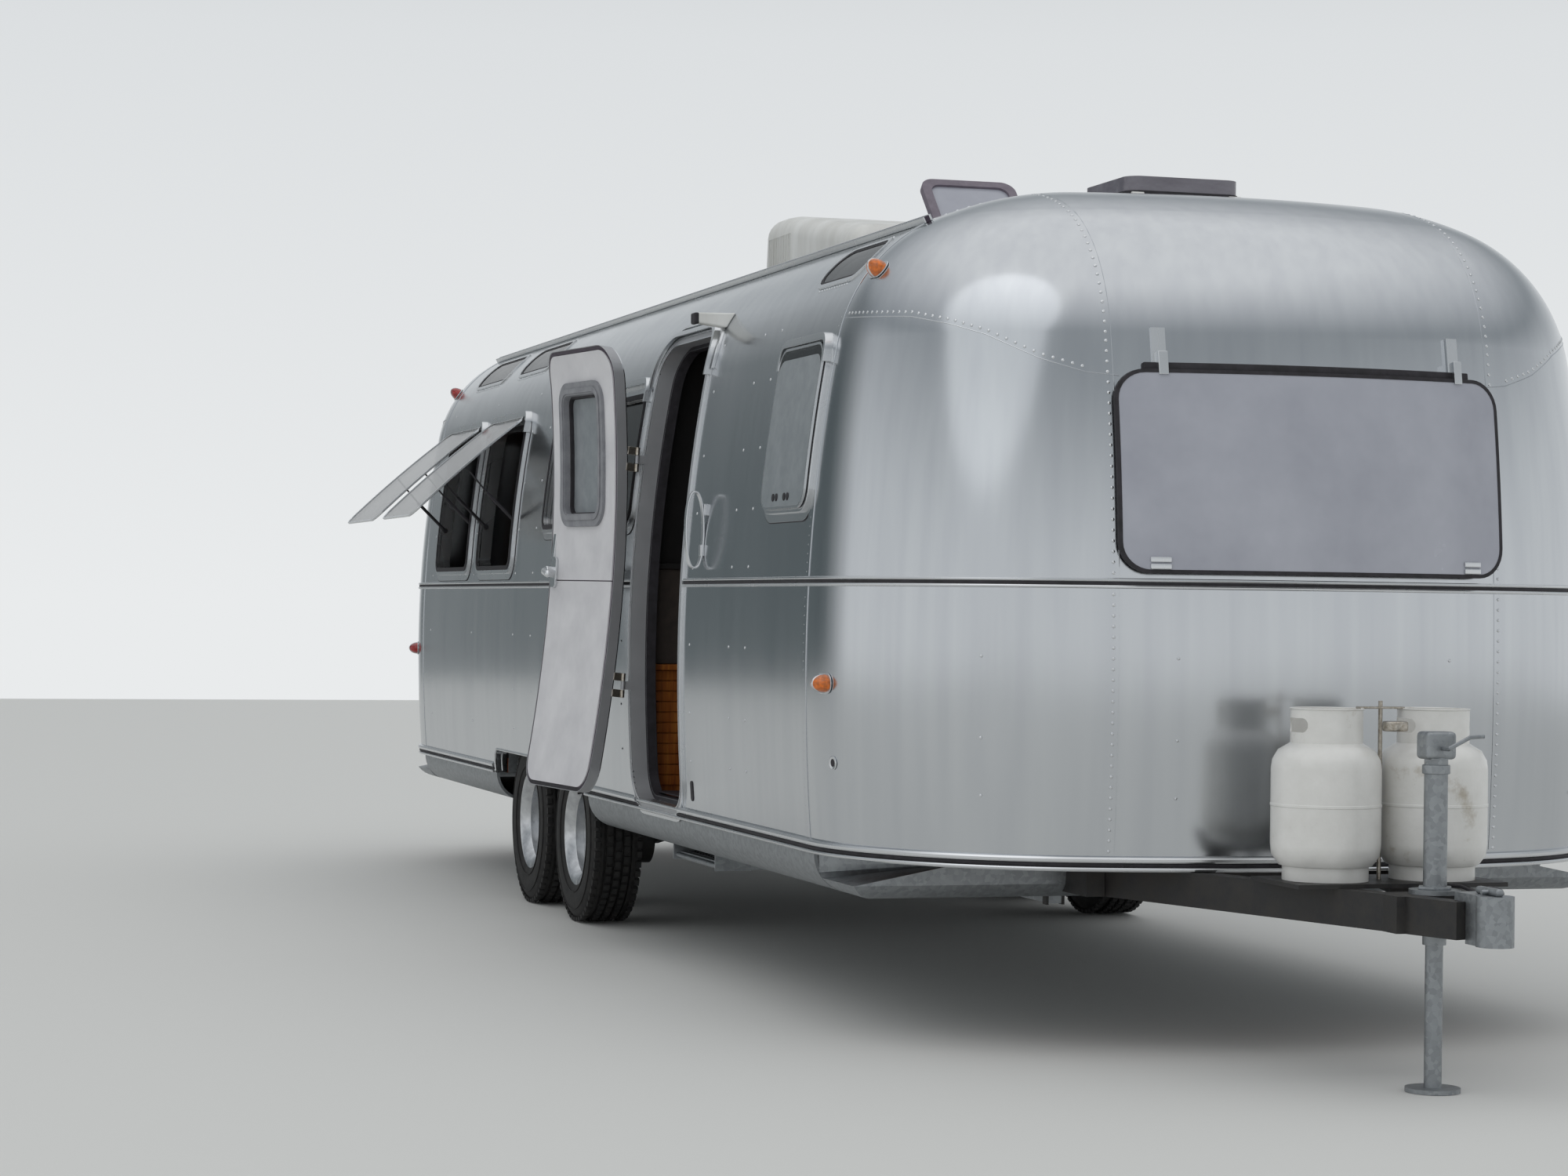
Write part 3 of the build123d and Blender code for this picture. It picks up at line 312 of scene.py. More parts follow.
def copyAt(template, place):
    twin = copyOf(template, template.name)
    moveTo(twin, place)
    return twin


def mirrorAcross(obj, name, axis="y"):
    # a twin on the other side of the body, right side out again
    twin = copyOf(obj, name)
    twin.scale = (1, -1, 1) if axis == "y" else (-1, 1, 1)
    bake(twin)
    editMode()
    closeShape()
    return twin


def join(objects, name):
    deselectAll()
    for obj in objects:
        obj.select_set(True)
    bpy.context.view_layer.objects.active = objects[0]
    bpy.ops.object.join()
    objects[0].name = name
    return objects[0]


def turnAbout(obj, point, axis, angle):
    where = Matrix.Translation(point)
    obj.matrix_world = where @ Matrix.Rotation(math.radians(angle), 4, axis) @ where.inverted() @ obj.matrix_world
    bake(obj)


def finishPiece(parts, name, material, body="trailer", smooth=32):
    # one object or a list to join, given one material and attached to a body
    obj = join(parts, name) if isinstance(parts, (list, tuple)) else parts
    bake(obj)
    bpy.ops.object.shade_smooth_by_angle(angle=math.radians(smooth))
    applyModifier(obj, "WEIGHTED_NORMAL", weight=50, keep_sharp=True)
    obj.name = name
    obj.data.name = name
    obj.data.materials.clear()
    obj.data.materials.append(material)
    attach(obj, body)
    return obj


def block(name, xFrom, xTo, yFrom, yTo, zFrom, zTo):
    deselectAll()
    bpy.ops.mesh.primitive_cube_add(size=1)
    obj = bpy.context.object
    obj.name = name
    obj.scale = (xTo - xFrom, yTo - yFrom, zTo - zFrom)
    moveTo(obj, ((xFrom + xTo) / 2, (yFrom + yTo) / 2, (zFrom + zTo) / 2))
    return obj


def rod(name, start, stop, radius, sides=24):
    start = Vector(start)
    stop = Vector(stop)
    deselectAll()
    bpy.ops.mesh.primitive_cylinder_add(vertices=sides, radius=radius, depth=(stop - start).length)
    obj = bpy.context.object
    obj.name = name
    obj.rotation_mode = "QUATERNION"
    obj.rotation_quaternion = (stop - start).to_track_quat("Z", "Y")
    moveTo(obj, (start + stop) / 2)
    return obj


def roundedBlock(name, xCentre, width, bottom, top, corner, yFrom, yTo, segments=8):
    # a rounded rectangle seen from the side, drawn across the body
    obj = block(name, xCentre - width / 2, xCentre + width / 2, yFrom, yTo, bottom, top)
    roundEdges(obj, lambda a, b: abs(a.x - b.x) < 1e-5 and abs(a.z - b.z) < 1e-5, corner, segments)
    return obj


def curbBlock(name, xCentre, width, bottom, top, corner):
    # a cutting block through the curb wall
    return roundedBlock(name, xCentre, width, bottom, top, corner, -halfWidth - 0.3, -halfWidth + 0.3)


def wallBand(name, low, high, proud, depth, xFrom, xTo):
    # a solid that follows the curb wall between two angles
    obj = startPoint(name, (xFrom, *sectionPoint(low, proud)))
    climbSection(low, high, xFrom)
    slide(x=xTo - xFrom)
    closeShape()
    outward = sum(face.normal.y for face in obj.data.polygons)
    if outward > 0:
        flipFaces()
    return thicken(obj, proud + depth)


# Finishes
def linearColour(hexText):
    parts = [int(hexText[i : i + 2], 16) / 255 for i in (1, 3, 5)]
    return tuple(p / 12.92 if p <= 0.04045 else ((p + 0.055) / 1.055) ** 2.4 for p in parts) + (1.0,)


def setInputs(node, inputs):
    # a node or a socket is linked, any other value is set on the socket itself
    for name, value in inputs.items():
        if isinstance(value, bpy.types.Node):
            value = value.outputs[0]
        if isinstance(value, bpy.types.NodeSocket):
            node.id_data.links.new(value, node.inputs[name])
        else:
            node.inputs[name].default_value = value


def setStops(colourRamp, stops):
    while len(colourRamp.elements) < len(stops):
        colourRamp.elements.new(0.5)
    for element, (place, colour) in zip(colourRamp.elements, stops):
        element.position = place
        element.color = linearColour(colour) if isinstance(colour, str) else (colour, colour, colour, 1)


def addNode(tree, kind, settings=None, inputs=None):
    # the setting called stops fills a colour ramp
    node = tree.nodes.new("ShaderNode" + kind)
    for name, value in (settings or {}).items():
        if name == "stops":
            setStops(node.color_ramp, value)
        else:
            setattr(node, name, value)
    setInputs(node, inputs or {})
    return node


def newMaterial(name):
    material = bpy.data.materials.new(name)
    material.use_nodes = True
    tree = material.node_tree
    tree.nodes.clear()
    shader = addNode(tree, "BsdfPrincipled")
    addNode(tree, "OutputMaterial", inputs={"Surface": shader})
    place = addNode(tree, "TexCoord").outputs["Object"]
    return material, tree, shader, place


def perMetre(sizeInMillimetres):
    # a noise's scale from the real size of its pattern
    return 1000 / sizeInMillimetres


def polishedAluminium():
    # clad aluminium sheet, rolled and hand polished: soft streaks, faint smears and panels that ripple
    material, tree, shader, place = newMaterial("polishedAluminium")
    streaksPlace = addNode(tree, "Mapping", inputs={"Vector": place, "Scale": (1, 1, 0.05)})
    streaks = addNode(
        tree, "TexNoise",
        inputs={"Vector": streaksPlace, "Scale": perMetre(60), "Detail": 2, "Roughness": 0.5},
    )
    smearsPlace = addNode(tree, "Mapping", inputs={"Vector": place, "Scale": (1, 1, 0.3)})
    smears = addNode(
        tree, "TexNoise",
        inputs={"Vector": smearsPlace, "Scale": perMetre(260), "Detail": 3, "Roughness": 0.5},
    )
    colour = addNode(tree, "ValToRGB", {"stops": ((0.3, "#C3C6CA"), (0.7, "#CACDD0"))}, {"Fac": streaks})
    gloss = addNode(tree, "ValToRGB", {"stops": ((0.3, 0.15), (0.7, 0.18))}, {"Fac": smears})
    grainPlace = addNode(tree, "Mapping", inputs={"Vector": place, "Scale": (1, 1, 0.6)})
    grain = addNode(
        tree, "TexNoise",
        inputs={"Vector": grainPlace, "Scale": perMetre(420), "Detail": 1, "Roughness": 0.4},
    )
    relief = addNode(tree, "Bump", inputs={"Height": grain, "Distance": 0.0018, "Strength": 1.0})
    setInputs(shader, {"Metallic": 1.0, "Base Color": colour, "Roughness": gloss, "Normal": relief})
    return material


def extrudedTrim():
    # anodised aluminium extrusion: even, satin and lighter than the sheet
    material, tree, shader, place = newMaterial("extrudedTrim")
    cloud = addNode(tree, "TexNoise", inputs={"Vector": place, "Scale": perMetre(240), "Detail": 1})
    colour = addNode(tree, "ValToRGB", {"stops": ((0.3, "#D3D5D7"), (0.7, "#DADCDE"))}, {"Fac": cloud})
    gloss = addNode(tree, "ValToRGB", {"stops": ((0.3, 0.25), (0.7, 0.29))}, {"Fac": cloud})
    setInputs(shader, {"Metallic": 1.0, "Base Color": colour, "Roughness": gloss})
    return material


def satinJamb():
    # satin anodised door jamb: flat grey metal that scatters the light
    material, tree, shader, place = newMaterial("satinJamb")
    cloud = addNode(tree, "TexNoise", inputs={"Vector": place, "Scale": perMetre(160), "Detail": 3})
    colour = addNode(tree, "ValToRGB", {"stops": ((0.3, "#A5A6A9"), (0.7, "#B2B3B6"))}, {"Fac": cloud})
    setInputs(shader, {"Base Color": colour, "Metallic": 0.55, "Roughness": 0.48})
    return material


def paleGlass():
    # door pane with a drawn shade behind it: reads as flat light grey under a hard gloss
    material, tree, shader, place = newMaterial("paleGlass")
    weave = addNode(tree, "TexNoise", inputs={"Vector": place, "Scale": perMetre(60), "Detail": 4, "Roughness": 0.6})
    colour = addNode(tree, "ValToRGB", {"stops": ((0.3, "#83898D"), (0.7, "#969B9F"))}, {"Fac": weave})
    setInputs(shader, {"Base Color": colour, "Roughness": 0.32, "Coat Weight": 0.8, "Coat Roughness": 0.05})
    return material


def darkRubber():
    # extruded weather seal: matt, nearly black, with a dusty bloom
    material, tree, shader, place = newMaterial("darkRubber")
    bloom = addNode(tree, "TexNoise", inputs={"Vector": place, "Scale": perMetre(35), "Detail": 4, "Roughness": 0.6})
    colour = addNode(tree, "ValToRGB", {"stops": ((0.3, "#18171A"), (0.75, "#302C33"))}, {"Fac": bloom})
    grain = addNode(tree, "TexNoise", inputs={"Vector": place, "Scale": perMetre(3), "Detail": 3})
    relief = addNode(tree, "Bump", inputs={"Height": grain, "Distance": 0.0002, "Strength": 1.0})
    setInputs(shader, {"Base Color": colour, "Roughness": 0.62, "Normal": relief})
    return material


def whitePanel():
    # painted laminate of the door's inside: white with a faint stipple and handling marks
    material, tree, shader, place = newMaterial("whitePanel")
    marks = addNode(tree, "TexNoise", inputs={"Vector": place, "Scale": perMetre(180), "Detail": 5, "Roughness": 0.6})
    colour = addNode(tree, "ValToRGB", {"stops": ((0.3, "#CDCCCF"), (0.7, "#DFDEE0"))}, {"Fac": marks})
    gloss = addNode(tree, "ValToRGB", {"stops": ((0.3, 0.42), (0.7, 0.55))}, {"Fac": marks})
    grain = addNode(tree, "TexNoise", inputs={"Vector": place, "Scale": perMetre(2.5), "Detail": 2})
    relief = addNode(tree, "Bump", inputs={"Height": grain, "Distance": 0.00012, "Strength": 1.0})
    setInputs(shader, {"Base Color": colour, "Roughness": gloss, "Normal": relief})
    return material


def whitePlastic():
    # moulded ABS of the roof gear: soft sheen, slightly yellowed where water runs
    material, tree, shader, place = newMaterial("whitePlastic")
    runsPlace = addNode(tree, "Mapping", inputs={"Vector": place, "Scale": (1, 1, 0.2)})
    runs = addNode(
        tree, "TexNoise",
        inputs={"Vector": runsPlace, "Scale": perMetre(120), "Detail": 4, "Roughness": 0.6},
    )
    colour = addNode(tree, "ValToRGB", {"stops": ((0.3, "#D2D1CC"), (0.7, "#E9E9E6"))}, {"Fac": runs})
    grain = addNode(tree, "TexNoise", inputs={"Vector": place, "Scale": perMetre(1.8), "Detail": 2})
    relief = addNode(tree, "Bump", inputs={"Height": grain, "Distance": 0.0001, "Strength": 1.0})
    setInputs(shader, {"Base Color": colour, "Roughness": 0.4, "Normal": relief})
    return material


def smokedGlass():
    # tinted safety glass: dark, very smooth, with a trace of dust
    material, tree, shader, place = newMaterial("smokedGlass")
    dust = addNode(tree, "TexNoise", inputs={"Vector": place, "Scale": perMetre(150), "Detail": 5, "Roughness": 0.65})
    colour = addNode(tree, "ValToRGB", {"stops": ((0.35, "#14171A"), (0.8, "#272C2F"))}, {"Fac": dust})
    gloss = addNode(tree, "ValToRGB", {"stops": ((0.35, 0.04), (0.8, 0.13))}, {"Fac": dust})
    setInputs(shader, {"Base Color": colour, "Roughness": gloss, "IOR": 1.52, "Alpha": 0.72})
    return material


def smokedAcrylic():
    # grey acrylic of the front vent lid: glossy, scuffed and faintly see-through
    material, tree, shader, place = newMaterial("smokedAcrylic")
    scuffsPlace = addNode(tree, "Mapping", inputs={"Vector": place, "Scale": (1, 0.3, 1)})
    scuffs = addNode(
        tree, "TexNoise",
        inputs={"Vector": scuffsPlace, "Scale": perMetre(60), "Detail": 6, "Roughness": 0.7},
    )
    colour = addNode(tree, "ValToRGB", {"stops": ((0.3, "#6E6A73"), (0.75, "#8A878F"))}, {"Fac": scuffs})
    gloss = addNode(tree, "ValToRGB", {"stops": ((0.3, 0.1), (0.75, 0.24))}, {"Fac": scuffs})
    setInputs(shader, {"Base Color": colour, "Roughness": gloss, "IOR": 1.49, "Alpha": 0.9})
    return material


def frostedGuard():
    # moulded acrylic sheet of the stone guard, lightly pitted by gravel; its pale grey base colour is partly the
    # sheet's own grey and partly painted reflection of the pale sky
    material, tree, shader, place = newMaterial("frostedGuard")
    fade = addNode(tree, "TexNoise", inputs={"Vector": place, "Scale": perMetre(300), "Detail": 4, "Roughness": 0.6})
    colour = addNode(tree, "ValToRGB", {"stops": ((0.3, "#A3A5AF"), (0.7, "#B4B6BF"))}, {"Fac": fade})
    gloss = addNode(tree, "ValToRGB", {"stops": ((0.3, 0.16), (0.7, 0.28))}, {"Fac": fade})
    grain = addNode(tree, "TexNoise", inputs={"Vector": place, "Scale": perMetre(2.5), "Detail": 2})
    relief = addNode(tree, "Bump", inputs={"Height": grain, "Distance": 0.00008, "Strength": 1.0})
    setInputs(shader, {"Base Color": colour, "Roughness": gloss, "IOR": 1.49, "Normal": relief})
    return material


def softSeal(name, dark, light):
    # vinyl edging of the door, matt and a little dusty
    material, tree, shader, place = newMaterial(name)
    bloom = addNode(tree, "TexNoise", inputs={"Vector": place, "Scale": perMetre(40), "Detail": 4, "Roughness": 0.6})
    colour = addNode(tree, "ValToRGB", {"stops": ((0.3, dark), (0.75, light))}, {"Fac": bloom})
    grain = addNode(tree, "TexNoise", inputs={"Vector": place, "Scale": perMetre(2.5), "Detail": 3})
    relief = addNode(tree, "Bump", inputs={"Height": grain, "Distance": 0.00015, "Strength": 1.0})
    setInputs(shader, {"Base Color": colour, "Roughness": 0.5, "Normal": relief})
    return material


def castBronze():
    # worn plated hinges: yellowed metal with darker hollows
    material, tree, shader, place = newMaterial("castBronze")
    wear = addNode(tree, "TexNoise", inputs={"Vector": place, "Scale": perMetre(9), "Detail": 4, "Roughness": 0.6})
    colour = addNode(tree, "ValToRGB", {"stops": ((0.3, "#9A9184"), (0.7, "#C6C1B8"))}, {"Fac": wear})
    gloss = addNode(tree, "ValToRGB", {"stops": ((0.3, 0.42), (0.7, 0.28))}, {"Fac": wear})
    setInputs(shader, {"Base Color": colour, "Metallic": 1.0, "Roughness": gloss})
    return material


def lensPlastic(name, hexText):
    # ribbed lamp lens in clear coloured acrylic
    material, tree, shader, place = newMaterial(name)
    depth = addNode(tree, "TexNoise", inputs={"Vector": place, "Scale": perMetre(12), "Detail": 2})
    dark = "#" + "".join("%02X" % int(int(hexText[i : i + 2], 16) * 0.72) for i in (1, 3, 5))
    colour = addNode(tree, "ValToRGB", {"stops": ((0.3, dark), (0.7, hexText))}, {"Fac": depth})
    setInputs(shader, {
        "Base Color": colour, "Roughness": 0.12,
        "IOR": 1.49, "Coat Weight": 0.6, "Coat Roughness": 0.05,
    })
    return material


def chassisPaint():
    # black brush-painted steel, chalky and dusty from the road
    material, tree, shader, place = newMaterial("chassisPaint")
    dust = addNode(tree, "TexNoise", inputs={"Vector": place, "Scale": perMetre(70), "Detail": 5, "Roughness": 0.65})
    colour = addNode(tree, "ValToRGB", {"stops": ((0.35, "#1B1B1D"), (0.8, "#3A3733"))}, {"Fac": dust})
    gloss = addNode(tree, "ValToRGB", {"stops": ((0.35, 0.42), (0.8, 0.7))}, {"Fac": dust})
    grain = addNode(tree, "TexNoise", inputs={"Vector": place, "Scale": perMetre(4), "Detail": 3})
    relief = addNode(tree, "Bump", inputs={"Height": grain, "Distance": 0.0004, "Strength": 1.0})
    setInputs(shader, {"Base Color": colour, "Roughness": gloss, "Normal": relief})
    return material


def zincPlate():
    # hot-dip galvanised steel: grey spangles of about a fingernail
    material, tree, shader, place = newMaterial("zincPlate")
    spangle = addNode(tree, "TexVoronoi", inputs={"Vector": place, "Scale": perMetre(14)})
    colour = addNode(
        tree, "ValToRGB", {"stops": ((0.2, "#8E9295"), (0.8, "#9FA3A6"))},
        {"Fac": spangle.outputs["Color"]},
    )
    setInputs(shader, {"Base Color": colour, "Metallic": 0.85, "Roughness": 0.45})
    return material


def tyreRubber():
    # vulcanised rubber, greyed on the tread
    material, tree, shader, place = newMaterial("tyreRubber")
    dust = addNode(tree, "TexNoise", inputs={"Vector": place, "Scale": perMetre(45), "Detail": 5, "Roughness": 0.6})
    colour = addNode(tree, "ValToRGB", {"stops": ((0.35, "#161617"), (0.8, "#2F2D2B"))}, {"Fac": dust})
    grain = addNode(tree, "TexNoise", inputs={"Vector": place, "Scale": perMetre(2.2), "Detail": 3})
    relief = addNode(tree, "Bump", inputs={"Height": grain, "Distance": 0.0003, "Strength": 1.0})
    setInputs(shader, {"Base Color": colour, "Roughness": 0.74, "Normal": relief})
    return material


def castAlloy():
    # machined and lacquered aluminium of the wheel rims
    material, tree, shader, place = newMaterial("castAlloy")
    cloud = addNode(tree, "TexNoise", inputs={"Vector": place, "Scale": perMetre(28), "Detail": 3})
    colour = addNode(tree, "ValToRGB", {"stops": ((0.3, "#B4B6B9"), (0.7, "#CFD1D3"))}, {"Fac": cloud})
    setInputs(shader, {"Base Color": colour, "Metallic": 1.0, "Roughness": 0.27, "Coat Weight": 0.4})
    return material


def bottleEnamel():
    # white enamel of the gas bottles, with thin rust bloom low down
    material, tree, shader, place = newMaterial("bottleEnamel")
    cloud = addNode(tree, "TexNoise", inputs={"Vector": place, "Scale": perMetre(110), "Detail": 6, "Roughness": 0.65})
    colour = addNode(
        tree, "ValToRGB", {"stops": ((0.25, "#B7AFA2"), (0.4, "#DDDCD8"), (0.8, "#E9E8E5"))},
        {"Fac": cloud},
    )
    grain = addNode(tree, "TexNoise", inputs={"Vector": place, "Scale": perMetre(9), "Detail": 2})
    relief = addNode(tree, "Bump", inputs={"Height": grain, "Distance": 0.0003, "Strength": 1.0})
    setInputs(shader, {"Base Color": colour, "Roughness": 0.3, "Coat Weight": 0.3, "Normal": relief})
    return material


def woodVeneer():
    # warm varnished cabinet veneer with upright grain
    material, tree, shader, place = newMaterial("woodVeneer")
    grainPlace = addNode(tree, "Mapping", inputs={"Vector": place, "Scale": (1, 1, 0.06)})
    grain = addNode(
        tree, "TexNoise",
        inputs={"Vector": grainPlace, "Scale": perMetre(16), "Detail": 6, "Roughness": 0.62},
    )
    colour = addNode(
        tree, "ValToRGB", {"stops": ((0.3, "#6B3714"), (0.5, "#93531F"), (0.72, "#B0702F"))},
        {"Fac": grain},
    )
    relief = addNode(tree, "Bump", inputs={"Height": grain, "Distance": 0.0003, "Strength": 1.0})
    setInputs(shader, {"Base Color": colour, "Roughness": 0.36, "Coat Weight": 0.35, "Normal": relief})
    return material


def floorBoard():
    # reddish sealed floor, scuffed near the door
    material, tree, shader, place = newMaterial("floorBoard")
    boardsPlace = addNode(tree, "Mapping", inputs={"Vector": place, "Scale": (0.12, 1, 1)})
    boards = addNode(
        tree, "TexNoise",
        inputs={"Vector": boardsPlace, "Scale": perMetre(60), "Detail": 5, "Roughness": 0.6},
    )
    colour = addNode(tree, "ValToRGB", {"stops": ((0.3, "#5A2A1B"), (0.7, "#7E4630"))}, {"Fac": boards})
    setInputs(shader, {"Base Color": colour, "Roughness": 0.45})
    return material


print("stage: materials")
aluminium = polishedAluminium()
trim = extrudedTrim()
rubber = darkRubber()
panelWhite = whitePanel()
plasticWhite = whitePlastic()
glass = smokedGlass()
acrylic = smokedAcrylic()
amber = lensPlastic("amberLens", "#F07A12")
red = lensPlastic("redLens", "#B3130D")
paint = chassisPaint()
zinc = zincPlate()
tyreMaterial = tyreRubber()
alloy = castAlloy()
enamel = bottleEnamel()
wood = woodVeneer()
boards = floorBoard()
guardGrey = frostedGuard()
gasketPurple = softSeal("gasketPurple", "#332936", "#46394A")
bezelGrey = softSeal("bezelGrey", "#7E7F84", "#95969A")
lidMauve = softSeal("lidMauve", "#6B626D", "#7F7681")
blindGrey = softSeal("blindGrey", "#A9ABAD", "#BDBFC0")
hingeBronze = castBronze()
jambGrey = satinJamb()
doorPane = paleGlass()
darkLaminate = softSeal("darkLaminate", "#141213", "#1D1A1A")
brownLaminate = softSeal("brownLaminate", "#352E2A", "#453C36")

nodeFinishes = {
    "chassis": paint, "axle": paint, "bottle_rack": paint, "bumper": zinc, "coupler": zinc, "jack": zinc,
    "stand": zinc, "entry_step": zinc, "step_bracket": zinc, "wheel_tubs": zinc, "belly_pan": zinc,
    "gas_bottles": enamel, "floor": boards, "galley": wood, "wheel_": tyreMaterial, "rub_rail": trim,
    "belt_trim": trim, "roof_rails": trim, "window_frames": trim, "window_panes": glass, "window_sashes": glass,
    "door_window": doorPane, "vista": glass, "front_window": glass, "rear_window": glass, "stone_guard": acrylic,
    "vent_lid": acrylic, "vent_bases": plasticWhite, "air_conditioner": plasticWhite, "door_leaf": panelWhite,
    "door_frame": jambGrey, "door_handle": rubber, "grab_handle": trim, "porch_light": plasticWhite,
    "marker_lights_amber": amber, "marker_lights_red": red, "tail_lamps": red,
}
for nodeName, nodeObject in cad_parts.items():
    fitting = [key for key in nodeFinishes if nodeName.startswith(key)]
    finish = nodeFinishes[max(fitting, key=len)] if fitting else aluminium
    nodeObject.data.materials.clear()
    nodeObject.data.materials.append(finish)

# the body's skins and their openings
openings = {
    "windows": (
        # name, centre behind the seam, width, bottom, top
        ("front", 0.295, 0.46, 1.6, 2.085),
        ("middle", 3.04, 1.51, 1.597, 2.085),
        ("bed", 4.74, 0.73, 1.435, 2.07),
        ("rear", 5.695, 0.76, 1.435, 2.07),
    ),
    "windowCorner": 0.06,
    "vistas": ((0.32, 0.44), (4.77, 0.66), (5.72, 0.68)),
    "vistaAngle": 45,
    "vistaHeight": 0.17,
    "vistaCorner": 0.07,
    "doorBehind": 1.85,
    "doorWidth": 0.68,
    "doorBottom": 0.574,
    "doorTop": 2.245,
    "doorCorner": 0.11,
    "doorFace": 0.026,
    "wellBehind": 3.855,
    "wellLength": 1.75,
    "wellTop": 0.645,
    "wellCorner": 0.06,
    "endWidth": 1.1,
    "endBottom": 1.46,
    "endTop": 1.934,
    # centre behind the seam, offset across, size
    "vents": ((0.36, 0.02, 0.4), (2.13, 0.0, 0.38)),
}
doorX = seamFront - openings["doorBehind"]


def doorBlock(grow):
    return curbBlock(
        "doorOutline", doorX, openings["doorWidth"] + 2 * grow, openings["doorBottom"] - grow,
        openings["doorTop"] + grow, openings["doorCorner"] + grow,
    )


def windowBlock(window, grow):
    behind, width, bottom, top = window[1:]
    return curbBlock(
        "windowOutline", seamFront - behind, width + 2 * grow, bottom - grow, top + grow,
        openings["windowCorner"] + grow,
    )


def vistaBlock(vista, grow):
    behind, width = vista
    height = openings["vistaHeight"]
    obj = roundedBlock(
        "vistaOutline", seamFront - behind, width + 2 * grow, -height / 2 - grow, height / 2 + grow,
        openings["vistaCorner"] + grow, -0.15, 0.15,
    )
    y, z = sectionPoint(openings["vistaAngle"])
    obj.rotation_euler = (math.radians(-openings["vistaAngle"]), 0, 0)
    moveTo(obj, (0, y, z))
    return obj


def endOutline(width, bottom, top, corner, endX):
    # a rounded block through a round end
    middle = (bottom + top) / 2
    obj = roundedBlock("endOutline", 0, width, bottom - middle, top - middle, corner, -0.6, 0.6)
    obj.rotation_euler = (0, 0, math.radians(90))
    moveTo(obj, (endX, 0, middle))
    return obj


def wellBlock(side):
    return roundedBlock(
        "wellOutline", seamFront - openings["wellBehind"], openings["wellLength"], -0.2, openings["wellTop"],
        openings["wellCorner"], *sorted((0.2 * side, side * (halfWidth + 0.2))),
    )


def ringSkin(name, low, high):
    obj = startPoint(name, (seamFront, *sectionPoint(low)))
    climbSection(low, high, seamFront)
    sweepRoundBody()
    objectMode()
    return obj


def makeSkins():
    lower = ringSkin("skinLower", sideAngle(shell["railHeight"]), sideAngle(shell["beltHeight"]))
    thicken(lower, shell["wall"])
    cut(lower, doorBlock(openings["doorFace"]), wellBlock(-1), wellBlock(1))
    upper = thicken(ringSkin("skinUpper", sideAngle(shell["beltHeight"]), shell["gutterAngle"]), shell["wall"])
    cutters = [doorBlock(openings["doorFace"])]
    endWindow = (openings["endWidth"], openings["endBottom"], openings["endTop"], openings["windowCorner"])
    for endX in (seamFront + capDepth, seamRear - capDepth):
        cutters.append(endOutline(*endWindow, endX))
    cutters += [windowBlock(window, 0) for window in openings["windows"]]
    cutters += [vistaBlock(vista, 0) for vista in openings["vistas"]]
    for cutter in cutters[3:]:
        cutters.append(mirrorAcross(cutter, "roadCut"))
    cut(upper, *cutters)
    roof = ringSkin("skinRoof", shell["gutterAngle"], 90)
    activate(roof)
    selectEdges(roof, lambda a, b: min(a.z, b.z) > roofTop - 1e-4)
    bpy.ops.mesh.edge_face_add()
    closeShape()
    thicken(roof, shell["wall"])
    for behind, across, size in openings["vents"]:
        hole = size / 2 - 0.03
        x = seamFront - behind
        cut(roof, block("ventHole", x - hole, x + hole, across - hole, across + hole, roofTop - 0.2, roofTop + 0.2))
    finishPiece(lower, "skinLower", aluminium)
    finishPiece(upper, "skinUpper", aluminium)
    finishPiece(roof, "skinRoof", aluminium)
    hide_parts("wall_curb_lower", "wall_road_lower", "front_end_lower", "rear_end_lower")
    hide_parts("wall_curb_upper", "wall_road_upper", "front_end_upper", "rear_end_upper")
    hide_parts("roof")


print("stage: shell skins")
makeSkins()

# Rivets, seams and laps
rivets = {
    "radius": 0.0052,
    "height": 0.0026,
    "seamPitch": 0.028,
    "capPitch": 0.031,
    "vistaPitch": 0.026,
    "roofPitch": 0.04,
    "seamBehind": 0.035,
    "stripWidth": 0.05,
    "centrePanel": 0.62,
    # heading of the wall's normal from straight ahead, height of the lap there
    "capLap": ((90, 2.182), (60.5, 2.16), (49, 2.131), (40, 2.097), (27.3, 2.023), (15, 1.975)),
    "frameColumns": (0.69, 0.885, 1.381, 2.36, 2.66, 3.42, 3.95, 4.3, 5.2, 6.2),
    "frameHeights": (0.75, 0.918, 1.155, 1.42, 1.61, 1.81, 2.034, 2.196),
    "noseColumn": 0.435,
    "roofSeams": (1.18, 2.36, 3.54, 4.72, 5.9),
}


def wallSpot(x, angle, side=-1, proud=0.0):
    y, z = sectionPoint(angle, proud)
    return Vector((x, -side * y, z)), Vector((0, side * cosine(angle), sine(angle)))


def capSpot(heading, angle, rear=False, proud=0.0):
    # a point on a round end and its outward normal, by the normal's heading and the section's angle
    y, z = sectionPoint(angle, proud)
    reach = -cornerAxisY - y
    if abs(heading) >= noseAngle:
        across = math.copysign(cornerAxisY, heading) + reach * sine(heading)
        point = Vector((seamFront + reach * cosine(heading), across, z))
    else:
        reach += shell["capNoseRadius"] - shell["capCornerRadius"]
        point = Vector((seamFront - noseAxisBack + reach * cosine(heading), reach * sine(heading), z))
    normal = Vector((cosine(heading) * cosine(angle), sine(heading) * cosine(angle), sine(angle)))
    if rear:
        point.x = seamFront + seamRear - point.x
        normal.x = -normal.x
    return point, normal


def headingAt(across, angle):
    # the heading at which a round end is a distance off the middle
    reach = -cornerAxisY - sectionPoint(angle)[0]
    heading = math.degrees(math.asin(across / (reach + shell["capNoseRadius"] - shell["capCornerRadius"])))
    if heading > noseAngle and across - cornerAxisY < reach:
        heading = math.degrees(math.asin((across - cornerAxisY) / reach))
    return heading


